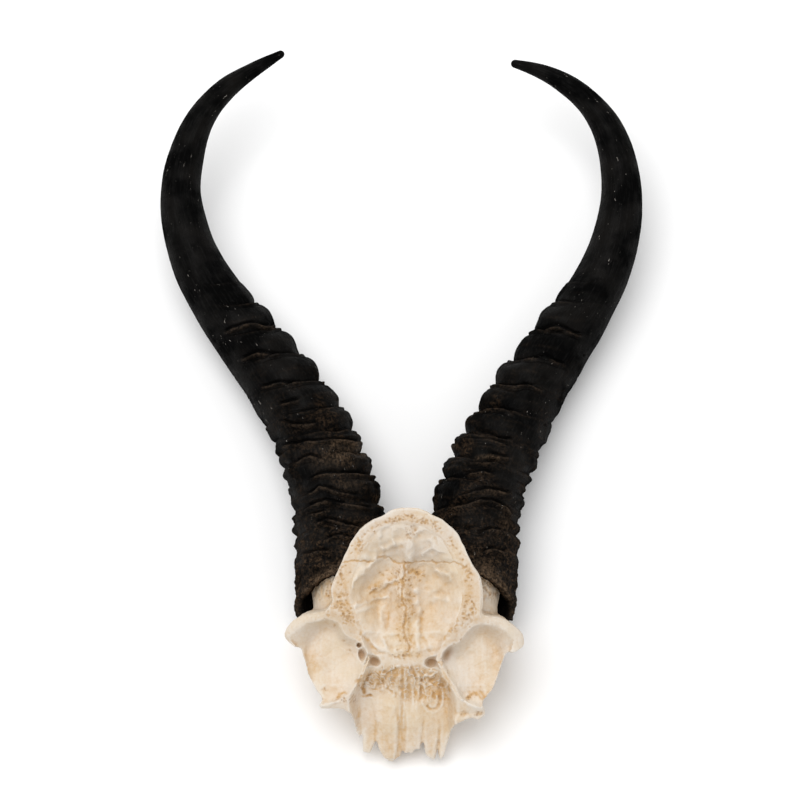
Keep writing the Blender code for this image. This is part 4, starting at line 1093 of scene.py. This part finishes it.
thinWalls = [  # the small curled walls behind the nose
    [(-15.5, -32.1), (-17.3, -33.9), (-18.6, -36.5), (-19, -39.6), (-18.2, -42.3), (-16.4, -43.9),
     (-14.2, -44.1)],
    [(-13.3, -33.4), (-15.1, -35.2), (-15.5, -37.4), (-14.6, -38.8), (-12.8, -39.6), (-12, -37.9)],
    [(-11.5, -32.1), (-9.7, -33.9), (-8, -36.5), (-7.5, -39.2)],
    [(-12.4, -33.4), (-10.6, -36.1), (-9.3, -38.8), (-9.7, -41)],
    [(-8.4, -34.5), (-6.6, -31.9), (-4.4, -30.1), (-1.8, -29.4)],
    [(-5.7, -35.9), (-4.9, -33.3), (-2.6, -31.5)],
    [(-0.9, -32.6), (-0.9, -40.6), (-1.3, -47.3), (-1.8, -54.8)],
    [(0.7, -30.9), (0.9, -36.2), (0.5, -45.1), (0.2, -57.5)],
    [(5.3, -30.6), (7.1, -33.7), (7.5, -36.8), (9.3, -37.7), (11.5, -35.9), (12.4, -33.7), (14.2, -32.4)],
    [(6.7, -37.9), (9.3, -37.4), (9.8, -40.1)], [(10.2, -33.8), (10.6, -36.5), (12.4, -38.7)],
    [(7.1, -39.8), (7.6, -43.8), (8.9, -47.4), (11.1, -50), (13.8, -50.9), (16, -49.6), (17.8, -46.5),
     (17.8, -42)],
    [(10.2, -40.7), (10.7, -44.7), (12, -47.4), (13.8, -48), (15.5, -46.5), (15.1, -43.4)],
    [(17.3, -33.4), (18.4, -37.9), (19.3, -41.4)], [(19.1, -36.1), (20.2, -40.5), (20.4, -43.6)],
    [(-18.2, -32.6), (-19.9, -34.3), (-20.8, -37.4)],
    [(2.2, -31.8), (4, -36.2), (4.4, -41.5), (4.4, -46.8)],
]
slits = [
    [(-14.2, -33.2), (-15.9, -35.2), (-16.8, -37)],
    [(-18.3, -39.2), (-17.7, -41.4), (-16.4, -43), (-14.6, -43)],
    [(-10.2, -34.1), (-9.3, -36.1), (-8.5, -37.2)], [(-11.8, -39.2), (-10.8, -38)],
    [(-10, -39.6), (-9.7, -41)], [(-21, -35.9), (-19.7, -34.8)],
    [(-7.5, -37.1), (-6.6, -40.2), (-4.9, -41.1)], [(-4.4, -37.4), (-3.5, -33.8)],
    [(3.8, -30.2), (4.9, -32.8), (6.1, -35.9)], [(8, -35.9), (8.4, -36.5)], [(11.1, -32.6), (12, -33.3)],
    [(8.3, -39.3), (8.1, -41.5), (7.9, -44.2)],
    [(10.7, -47.8), (12.4, -49.3), (14.7, -48.9), (16.2, -46.9)],
    [(16.1, -39.3), (16.5, -42.8), (17.1, -45.9)], [(16.9, -34.8), (17.7, -37.4), (18.3, -40.1)],
    [(20, -37.4), (20.8, -40.8)], [(13.7, -42), (14.2, -44.2)], [(5.6, -40.6), (5.6, -42.4)],
    [(-5.8, -40.6), (-4.6, -42)], [(-3.1, -42), (-2.9, -43.7)], [(8.9, -39.7), (10.2, -43.7)],
    [(12, -36.1), (13.7, -35.2), (15.1, -36.5)], [(-6, -25.1), (-5.3, -25.8)],
    [(-3.5, -25.5), (-2.2, -25.3), (-1.3, -26.2)], [(1.6, -24.9), (2, -24.6)], [(7.3, -24.6), (7.7, -24.8)],
]
# stained hollows between the walls, darkened with painted shade
darkPockets = [  # hollows between the walls: place, half sizes, turn, strength
    (-7.2, -32.8, 1.2, 1.8, 20, 0.9), (-8.6, -36.6, 1, 2, -20, 0.8), (-3.6, -32.2, 1.4, 1.6, 0, 0.5),
    (-17.4, -40.6, 0.9, 2.6, 10, 0.8), (-15.6, -43.2, 2.4, 0.8, 0, 0.8), (-19.9, -36, 0.8, 1.8, 0, 0.7),
    (-0.3, -38, 0.8, 8, 0, 0.4), (2.6, -40, 0.8, 7, 2, 0.35), (4.6, -32, 1.3, 2.2, 15, 0.8),
    (8, -36.4, 0.9, 1.6, 0, 0.8), (8, -42, 0.7, 3.4, 0, 0.8), (12.6, -49.2, 3.2, 0.8, 8, 0.25),
    (16.4, -43, 0.8, 3.6, -8, 0.7), (12.6, -35.4, 2.2, 1, 10, 0.7), (17.8, -37.4, 0.8, 2.6, -12, 0.7),
    (13.6, -43, 0.8, 1.6, 0, 0.5), (-12.2, -40.2, 2, 0.8, 0, 0.5),
]
# hollows with painted shade in them
paintedShadePockets = [(-0.6, -44, 1.9, 9), (-5.6, -35.5, 2.6, 3.4), (2.6, -41, 1.2, 8)]  # place, half sizes
sutures = [  # depth, width, width of the stain, strength and width of its halo, pores and their width
    ("coronal", 0.4, 0.4, 0.42, 0.12, 1.6, 0.3, 0.3), ("frontal", 0.55, 0.45, 0.6, 0.14, 3, 0.35, 0.34),
]
tearKnob = (31.9, -46)
tearSeams = [  # creases in the tear bones, beside the knob and on the left
    [(28.6, -43.5), (29.8, -42.2), (31.7, -41.6), (33.6, -42.4), (34.8, -44)],
    [(-28.8, -43.2), (-27.6, -41.6), (-25.4, -41)],
]
crownShadows = [  # place, half sizes, turn, strength
    (-4.6, 20.9, 5, 2, 24, 0.3), (8, 21.6, 6, 3.2, 0, 0.22), (19.5, 9, 6, 2.4, -38, 0.2),
    (-17, 9, 6, 2.2, 38, 0.22),
]
pits = [  # x and y of the small open pores
    (-27.3, -3.3), (-26, -2.4), (-24.5, -1.7), (-26.5, -6.1), (-26.9, -4.8), (-24.2, -5), (-23.4, -5.9),
    (-22.9, -3.7), (-23.8, -8.1), (-24.9, -9), (-22, -7.7), (-21.6, -9.4), (-29.1, -0.8), (-27.3, -0.6),
    (-25.1, -0.4), (-27.8, 1.6), (-26, 2), (-24.7, 2.5), (-29.5, -3.3), (27.8, 2), (29.5, 1.6),
    (27.3, -2.4), (27.8, -0.6), (30.4, -0.6), (31.3, -1.9), (30, -3.9), (27.8, -5), (30.6, -5.7),
    (29.1, -6.8), (28.2, -8.6), (26.5, -5.9), (26.9, -8.1), (27.8, 14.4), (28.2, 12.6), (29.5, 11.5),
    (30, 8.6), (29.8, 6), (27.8, 8.2), (26.2, 17.9), (28.7, 10), (-26.5, 14.4), (-27.3, 11.7), (-26.2, 9.1),
    (-23.4, 12.2), (-27.3, 6.9), (-25.1, 15.3), (-11.5, 32.5), (-9.7, 32.9), (-7.5, 34.2), (-5.7, 34.7),
    (-4, 35.1), (-2.6, 34.5), (-1.3, 35.6), (0, 36.7), (1.3, 37.3), (3.5, 36.9), (5.3, 36), (6.2, 34.7),
    (7.5, 35.1), (8.4, 33.6), (9.7, 34.2), (10.6, 34.7), (14.5, 32.5), (16.3, 31.6), (4, 34.5),
    (20.9, 27.6), (21.4, 25.8), (22, 24.1), (23.4, 22.7), (25.1, 20.5), (-19, 25.8), (-20.7, 22.3),
    (-19.8, 24.1), (-18.5, 21.4), (-12.8, 30.2), (-16.8, 28.9), (-7.1, 12.6), (-8.9, 10.8), (-4.9, 11.2),
    (-2.2, 12.6), (-3.1, 9), (-6.2, 8.1), (-10.2, 11.7), (2.7, 11.7), (4.4, 12.6), (6.2, 11.2), (7.6, 8.1),
    (5.3, 9.4), (2.7, 8.6), (8.9, 10.3), (3.6, 5.9), (-1.3, 7.2), (-2.2, 4.6), (-14.6, 4.6), (-12.9, 3.7),
    (-14.2, 2.8), (-12, 5.5), (4, -6.5), (5.1, -6), (3.1, 2), (4.9, 1.1), (2.7, -0.7), (-1.8, -3.4),
    (-2.2, 1.1), (4.4, -2.9), (-2.7, -13.1), (-2.2, -15.8), (4, -15.8), (2.2, -13.1), (-1.3, -18.4),
    (-2.2, -22), (0.9, -25.1), (-30.1, -11.4), (-22.8, -14.5), (-26.2, -18.2), (-23.4, -22.8),
    (22.8, -17.4), (25.4, -17.4), (31.6, -41.4), (2.6, -8.6),
]


def wandering(x, y, size, amount, seed):
    points = stack(x, y, 0.0)
    return x + amount * perlin(points, size, seed), y + amount * perlin(points, size, seed + 1)


def lineShare(x, y, lines, width):
    # 1 on any of the lines, fading within the width
    return np.max([fade(distanceTo(x, y, line), width) for line in lines], axis=0)


class Skin:
    # for each point of a surface: its relief in millimetres, and how much of each mark it has
    def __init__(self, points):
        self.points = points
        self.x, self.y, self.z = points.T.copy()
        self.flat = stack(self.x, self.y, 0.0)
        self.rise, self.stain, self.pore, self.grey, self.sponge, self.bare = np.zeros((6, len(points)))

    def add(self, share, rise=0.0, stain=0.0, pore=0.0, grey=0.0):
        self.rise += rise * share
        self.stain += stain * share
        self.pore += pore * share
        self.grey += grey * share


def addGround(skin):
    # uneven surface and tone, the sawn band, and the brain's hollow with its upper part
    y, flat, points = skin.y, skin.flat, skin.points
    skin.rise += 0.3 * perlin(points, 8.0, 31) + 0.2 * perlin(points, 3.0, 32)
    skin.rise += skin.cavity * (0.85 * perlin(flat, 6.5, 46) + 0.35 * perlin(flat, 2.6, 47))
    skin.stain += 0.16 + 0.26 * perlin(flat, 11.0, 33)
    band = smoothStep((skin.z + 0.6) / 0.5)
    skin.stain += band * (0.12 + 0.18 * smoothStep((20.0 - y) / 8.0))
    skin.grey += band * (0.1 + 0.14 * smoothStep((y - 22.0) / 8.0))
    opened = smoothStep((perlin(flat, 1.1, 57) - 0.16) / 0.3) * band
    opened *= smoothStep(perlin(flat, 6.0, 64) / 0.3 + 0.35)
    skin.add(opened, rise=-0.3, stain=0.16, pore=0.08)
    # painted shade over the upper part of the brain's hollow
    skin.add(skin.cavity * smoothStep((y - 13.0) / 5.0), stain=-0.1, grey=0.26)
    for *place, strength in warmSpots:
        skin.stain += 0.5 * strength * spot(skin.x, y, *place)


def addSutures(skin):
    # sutures wander in small teeth, and crumbs lie beside the long one
    x, y = wandering(skin.wanderX, skin.wanderY, 0.9, 0.35, 59)
    broken = np.clip(0.75 + 0.9 * perlin(skin.flat, 3.0, 36), 0.25, 1.0)
    for name, depth, width, stainWidth, halo, haloWidth, pore, poreWidth in sutures:
        near = distanceTo(x, y, plate[name])
        skin.rise -= depth * fade(near, width)
        skin.stain += 0.8 * broken * fade(near, stainWidth) + halo * fade(near, haloWidth)
        skin.pore += pore * broken * fade(near, poreWidth)
    crumbs = fade(near, 2.2) * smoothStep((perlin(skin.flat, 0.8, 58) - 0.1) / 0.2)
    skin.add(crumbs, stain=0.5, pore=0.3)


def addCrests(skin):
    uneven = np.clip(0.8 + 1.2 * perlin(skin.flat, 3.5, 56), 0.15, 1.3)
    for line, width, height in ridges:
        near = distanceTo(skin.wanderX, skin.wanderY, line)
        crest = fade(near, width * (1.0 + 0.15 * skin.cavity)) * uneven
        skin.rise += height * crest * (1.0 + 0.4 * skin.cavity)
        skin.stain -= 0.15 * crest * np.sign(height)
    fold = lineShare(skin.wanderX, skin.wanderY, folds, 0.9) * uneven
    # stain and painted shade in the dips
    skin.add(fold, rise=-0.5, stain=0.3, grey=0.1)


def addSponge(skin):
    # spongy bone: small shallow cells with stained walls
    sponge = np.max([strength * spot(skin.x, skin.y, *place) for *place, strength in spongyZones], axis=0)
    skin.sponge = smoothStep((sponge - 0.15) / 0.6)
    skin.rise += skin.sponge * (0.22 * perlin(skin.points, 1.3, 39) - 0.16)
    skin.stain += skin.sponge * (0.16 + 0.3 * perlin(skin.flat, 2.2, 38))


def addNose(skin):
    # curled walls and stringy bone behind the nose, between an upper and a lower edge
    x, y, flat = skin.x, skin.y, skin.flat
    wx, wy = skin.wanderX, skin.wanderY
    topEdge = -28.0 - 5.5 * (x / 20.0) ** 2 + 1.2 * perlin(flat, 3.0, 54)
    lowEdge = -44.5 - 4.5 * smoothStep((x + 1.0) / 3.0) + 2.5 * perlin(flat, 4.0, 40)
    nose = smoothStep((topEdge - y) / 2.2) * smoothStep((y - lowEdge) / 6.0)
    nose *= smoothStep((21.5 - np.abs(x - 0.3)) / 2.0)
    slant = wx + 0.35 * np.sin(0.3 * wx) * (wy + 36.0)
    stringy = perlin(stack(slant, 0.34 * wy, 0.0), 2.1, 41) + 0.4 * perlin(flat, 1.2, 42)
    strand = np.maximum(fade(perlin(stack(slant, 0.5 * wy, 0.2 * wx), 3.2, 60), 0.05),
                        fade(perlin(stack(wx, wy, 0.0), 3.6, 63), 0.04))
    lace = smoothStep((y - topEdge + 11.0) / 5.0) * smoothStep((np.abs(x + 0.3) - 1.5) / 2.0)
    skin.rise += nose * (0.55 * stringy - 0.3 + (0.35 + 0.6 * lace) * strand)
    skin.stain += nose * (0.42 - 0.36 * stringy - (0.12 + 0.12 * lace) * strand)
    skin.pore += nose * (0.04 + 0.07 * lace) * smoothStep((-stringy - 0.1) / 0.3) * (1.0 - 0.8 * strand)
    skin.bare = limit(0.4 * skin.cavity + nose * (0.85 - 0.7 * strand))
    vx, vy = wandering(x, y, 1.6, 0.35, 43)
    wall = lineShare(vx, vy, thinWalls, 0.55) * np.clip(0.8 + 1.2 * perlin(flat, 2.4, 48), 0.2, 1.2)
    wall = wall * (1.0 - 0.5 * smoothStep((-42.0 - y) / 6.0))
    slit = lineShare(vx, vy, slits, 0.55) * np.clip(0.8 + 1.2 * perlin(flat, 2.4, 49), 0.2, 1.2)
    beside = limit(1.0 - wall)
    skin.rise += 0.5 * wall - 0.5 * slit * beside
    skin.stain += 0.32 * slit - 0.22 * wall
    skin.pore = (skin.pore + 0.16 * slit) * beside
    # stain and painted shade in the hollows between the walls
    for *place, level in darkPockets:
        skin.add(level * spot(wx, wy, *place), rise=-0.9, stain=0.45, pore=0.22)
    # painted shade in these hollows
    for place in paintedShadePockets:
        skin.add(spot(x, y, *place), rise=-0.4, grey=0.2)
    middle = fade(x + 0.8, 1.3) * smoothStep((-29.0 - y) / 3.0)
    skin.stain += 0.35 * middle * (0.7 + 1.2 * perlin(stack(x, 0.2 * y, 0.0), 0.8, 55))
    skin.pore += 0.06 * middle


def addLobes(skin):
    # seams between the nasal plates, and streaks that run towards the nose
    x, y = skin.x, skin.y
    low = smoothStep((-44.0 - y) / 10.0)
    onLobe = np.zeros(len(x))
    for left, right, *_ in plate["lobes"]:
        onLobe = np.maximum(onLobe, smoothStep(np.minimum(x - left, right - x) / 0.7))
    seam = low * (1.0 - onLobe) * (np.abs(x) < 24.0) * limit(0.5 + 1.2 * perlin(skin.flat, 5.0, 51))
    # stain and painted shade along the seams between the plates
    skin.add(seam, stain=0.4, grey=0.12)
    streak = perlin(stack(x, y * 0.07, 0.0), 1.1, 44)
    skin.rise += (0.08 + 0.1 * low) * streak
    skin.stain += low * (0.05 + 0.2 * np.clip(streak, -0.3, 1.0))


def addHoles(skin):
    # small open pores, then the holes round the orbits' inner corners
    x, y = skin.x, skin.y
    vx, vy = wandering(x, y, 0.9, 0.55, 50)
    for centreX, centreY in pits:
        skin.add(spot(vx, vy, centreX, centreY, 0.5, 0.4), rise=-0.45, pore=0.4)
        skin.stain += 0.3 * spot(vx, vy, centreX, centreY, 1.2, 1.0)
    for centreX, centreY, halfX, halfY, turn in plate["holes"]:
        inside = spot(x, y, centreX, centreY, 0.8 * halfX, 0.8 * halfY, turn)
        skin.pore += 0.75 * limit(1.35 * inside - 0.35)
        skin.rise += 0.35 * spot(x, y, centreX, centreY, 1.4 * halfX, 1.4 * halfY, turn)
    # the recess: a dent darkened inside and beside it with painted shade
    centreX, centreY, halfX, halfY, turn = plate["recess"]
    deep = spot(x, y, *plate["recess"])
    skin.rise -= 2.4 * deep
    skin.pore += 0.8 * deep ** 1.5
    skin.grey += 0.3 * spot(x, y, centreX + 1.6, centreY, 2.2 * halfX, 1.2 * halfY, turn)


def addSides(skin):
    # tear bone knob, soft shadows of the crown hollows, the horns' roots and the orbits' roofs
    x, y, points = skin.x, skin.y, skin.points
    skin.rise += 2.2 * spot(x, y, *tearKnob, 3.4, 3.2)
    skin.stain -= 0.3 * spot(x, y, *tearKnob, 3.0, 3.0)
    skin.stain += 0.8 * lineShare(skin.wanderX, skin.wanderY, tearSeams, 0.6)
    for *place, level in crownShadows:
        skin.grey += level * spot(x, y, *place)
    root = smoothStep((-13.0 - skin.z) / 3.0) * smoothStep((y + 3.0) / 4.0)
    skin.rise += root * 0.5 * perlin(points, 1.6, 52)
    skin.stain += root * (0.1 + 0.5 * perlin(points, 2.6, 53))
    skin.sponge = np.maximum(skin.sponge, 0.85 * root)
    skin.pore += root * 0.08 * smoothStep((y - 12.0) / 5.0)
    for orbit in (plate["leftOrbit"], plate["rightOrbit"]):
        near = distanceTo(x, y, orbit["crease"])
        inner = insideOf(x, y, orbit["crease"] + orbit["crest"][1:] + orbit["freeEdge"])
        # painted shade along each crease, on the rim and under it
        skin.grey += 0.26 * inner * fade(near, 4.5) + 0.26 * (1.0 - inner) * fade(near, 3.5)
        skin.stain -= 0.14 * inner * smoothStep((38.0 - np.abs(x)) / 8.0)
        skin.stain += 0.35 * fade(distanceTo(skin.wanderX, skin.wanderY, orbit["freeEdge"]), 1.1)
    # faint branching marks on the orbits' roofs
    skin.rise -= 0.12 * fade(perlin(skin.flat, 9.0, 45), 0.03) * (np.abs(x) > 24.0)


def openSideDetail(points):
    skin = Skin(points)
    x, y, edge = skin.x, skin.y, plate["brainLine"]
    skin.cavity = insideOf(x, y, edge) * smoothStep(distanceTo(x, y, edge, True) / 3.0)
    skin.wanderX, skin.wanderY = wandering(x, y, 2.2, 0.8, 34)
    for step in (addGround, addSutures, addCrests, addSponge, addNose, addLobes, addHoles, addSides):
        step(skin)
    return skin


farSide = {
    "sutures": [
        [(0.5, 40.0), (0.2, 18.0), (0.8, 0.0), (0.2, -22.0), (0.6, -46.0), (0.3, -70.0)],
        [(-24.0, 18.0), (-12.0, 20.5), (0.2, 19.0), (12.0, 20.5), (25.0, 18.0)],
        [(-20.0, -58.0), (-13.0, -46.0), (-6.0, -38.0), (0.4, -35.0), (7.0, -38.0), (14.0, -46.0),
         (21.0, -57.0)],
    ],
    "browHoles": [(-19.5, -26.0), (20.5, -26.5)],
    "hornRoots": (-28.0, 30.0),
}


def farSideDetail(points):
    # the outside of the skull: sutures, brow holes with their gutters, rough root of the horns
    skin = Skin(points)
    x, y = skin.x, skin.y
    skin.rise += 0.3 * perlin(points, 9.0, 51) + 0.14 * perlin(points, 2.6, 52)
    skin.stain += 0.2 + 0.35 * perlin(points, 10.0, 53)
    wx, wy = wandering(x, y, 1.9, 1.5, 54)
    uneven = np.clip(0.6 + 1.2 * perlin(points, 4.0, 65), 0.1, 1.0)
    for line in farSide["sutures"]:
        near = distanceTo(wx, wy, line)
        skin.rise -= 0.4 * uneven * fade(near, 0.6)
        skin.stain += 0.6 * uneven * fade(near, 0.8)
        skin.pore += 0.16 * uneven * fade(near, 0.5)
    for centreX, centreY in farSide["browHoles"]:
        skin.add(spot(x, y, centreX, centreY, 1.7, 2.1), rise=-2.6, pore=0.9)
        skin.add(spot(x, y, centreX, centreY - 9.0, 1.8, 8.0), rise=-0.9, stain=0.25)
    root = np.zeros(len(x))
    for centreX in farSide["hornRoots"]:
        root += fade(np.hypot(x - centreX, y + 1.0) - 17.0, 6.0) * (skin.z < -14.0)
    root = limit(root)
    hole = smoothStep((0.5 - nearestCell(points, 1.6, 55)) / 0.3)
    skin.rise -= 0.55 * root * hole - 0.3 * root * perlin(points, 2.0, 56)
    skin.stain += root * (0.3 + 0.3 * hole)
    skin.pore += 0.25 * root * hole
    skin.rise += 0.07 * perlin(stack(x, y * 0.1, skin.z * 0.4), 1.3, 57)
    skin.sponge = 0.8 * root
    return skin


def cutPlate():
    # the sawn bone with the roots of its horn cores, cut out of whole blocks
    plate["brainLine"] = roundedLine(plate["brainEdge"] + plate["brainEdge"][:1], 110)[:-1]
    plate["edgeLine"] = plateOutline()
    plate["crownEdge"] = plate["outlineBack"][12:] + plate["outline"][:10]
    piece = heightBlock("skullPlate", outerHeight, plate["outerStep"], 6.0)
    cutWith(piece, outlineBlock(plate["edgeLine"], -60.0, 5.0), "INTERSECT")
    for line in (leftLine, rightLine):
        cutWith(piece, sheathRoom(line), "DIFFERENCE")
    for line in (leftLine, rightLine):
        cutWith(piece, hornCore("hornRoot", line, range(-24, 19, 6), 32, False), "UNION")
    cutWith(piece, heightBlock("openSide", openSideHeight, plate["innerStep"], 30.0), "DIFFERENCE")
    for centreX, centreY, halfX, halfY, turn in plate["holes"]:
        level = float(innerHeight(np.array([centreX]), np.array([centreY]))[0])
        bpy.ops.mesh.primitive_cone_add(vertices=20, radius1=plate["holeNarrow"], radius2=plate["holeWide"],
                                        depth=plate["holeDeep"], location=(centreX, centreY, level + 0.6),
                                        rotation=(0.0, 0.0, math.radians(turn)), scale=(halfX, halfY, 1.0))
        cutWith(piece, bpy.context.object, "DIFFERENCE")
    # the saw cut: everything above z = 0 goes
    bpy.ops.mesh.primitive_cube_add(size=1.0, location=(0.0, 0.0, 20.0), scale=(200.0, 200.0, 40.0))
    cutWith(piece, bpy.context.object, "DIFFERENCE")
    print("bone cut out:", len(piece.data.polygons), "faces")
    return piece


def growTogether(piece):
    # one even surface, worn round where it wasn't sawn; the outside is marked for thinning
    change(piece, "growTogether", "REMESH", mode="VOXEL", voxel_size=plate["voxel"])
    points, normals = getPoints(piece), getNormals(piece)
    worn = smoothStep((0.2 - normals[:, 2]) / 0.3) * smoothStep((-3.0 - points[:, 2]) / 4.0)
    worn = worn * smoothStep((points[:, 1] + 44.0) / 8.0)
    outside = piece.vertex_groups.new(name="outside")
    for level in range(1, 11):
        outside.add(np.nonzero(np.rint(10.0 * worn) == level)[0].tolist(), 0.1 * level, "REPLACE")
    change(piece, "wearRound", "SMOOTH", iterations=plate["wornRounds"], vertex_group=outside.name)
    below = piece.vertex_groups.new(name="farSide")
    below.add(np.nonzero((normals[:, 2] < 0.15) & (points[:, 2] < -1.0))[0].tolist(), 1.0, "REPLACE")


def addRelief(piece):
    # fine forms on both sides, then the marks that the bone's material reads
    points, normals = getPoints(piece), getNormals(piece)
    sawn = smoothStep((points[:, 2] + 0.5) / 0.3)
    up = smoothStep((normals[:, 2] + 0.1) / 0.3)
    inner, outer = openSideDetail(points), farSideDetail(points)
    grit = 0.07 * perlin(points, 0.9, 61) + 0.1 * perlin(points, 1.8, 62)
    calm = np.where(sawn > 0.5, 0.45, 1.0)
    points[:, 2] += up * np.where(inner.rise < 0.0, inner.rise, inner.rise * calm * (1.0 - 0.9 * sawn))
    points += ((1.0 - up) * outer.rise + grit * (1.0 - 0.6 * sawn))[:, None] * normals
    points[:, 2] = np.minimum(points[:, 2], 0.02)
    setPoints(piece, points)

    def both(name):
        return up * getattr(inner, name) + (1.0 - up) * getattr(outer, name)

    small, broad = hollowness(piece, 4), hollowness(piece, 30)
    # hollows gather stain, and the deeper ones get painted shade; raised bits and the crown's edge are paler
    stain = both("stain") + 1.2 * np.clip(small, -0.1, 0.4) + 0.15 * np.clip(broad, -0.5, 1.2)
    pore = both("pore") + 0.7 * np.clip(small - 0.14, 0.0, 0.5) + 0.08 * np.clip(broad - 1.0, 0.0, 3.0)
    ridge = np.clip(-small * 2.4, 0.0, 0.55) + 0.12 * limit(-broad)
    ridge = ridge * (1.0 - both("bare")) * (0.5 + 0.5 * up)
    nearCrown = distanceTo(points[:, 0], points[:, 1], plate["crownEdge"])
    ridge = ridge + 0.12 * smoothStep((2.2 - nearCrown) / 2.0) * up
    paint(piece, {
        "stain": limit(stain), "pore": np.clip(pore, 0.0, 0.85), "grey": np.clip(both("grey"), 0.0, 0.8),
        "ridge": np.clip(ridge, 0.0, 0.8), "sponge": limit(both("sponge")),
    })


def addCores(piece):
    # the long cores inside the sheaths are seen only at their roots
    plain = {"stain": 0.35, "pore": 0.0, "grey": 0.1, "ridge": 0.0, "sponge": 0.1}
    cores = [hornCore("hornCore", line, [9.0] + [14.0 * k for k in range(1, 12)], 28, True)
             for line in (leftLine, rightLine)]
    for core in cores:
        paint(core, {name: np.full(len(core.data.vertices), level) for name, level in plain.items()})
    selectOnly(piece)
    for core in cores:
        core.select_set(True)
    bpy.ops.object.join()


def buildPlate():
    piece = cutPlate()
    growTogether(piece)
    addRelief(piece)
    change(piece, "thinOut", "DECIMATE", ratio=plate["keepShare"], vertex_group="farSide")
    piece.vertex_groups.clear()
    print("bone surface:", len(piece.data.vertices), "points")
    addCores(piece)
    finishPiece(piece, boneMaterial())
    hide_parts("skull_plate")
    print("bone plate done")


buildPlate()
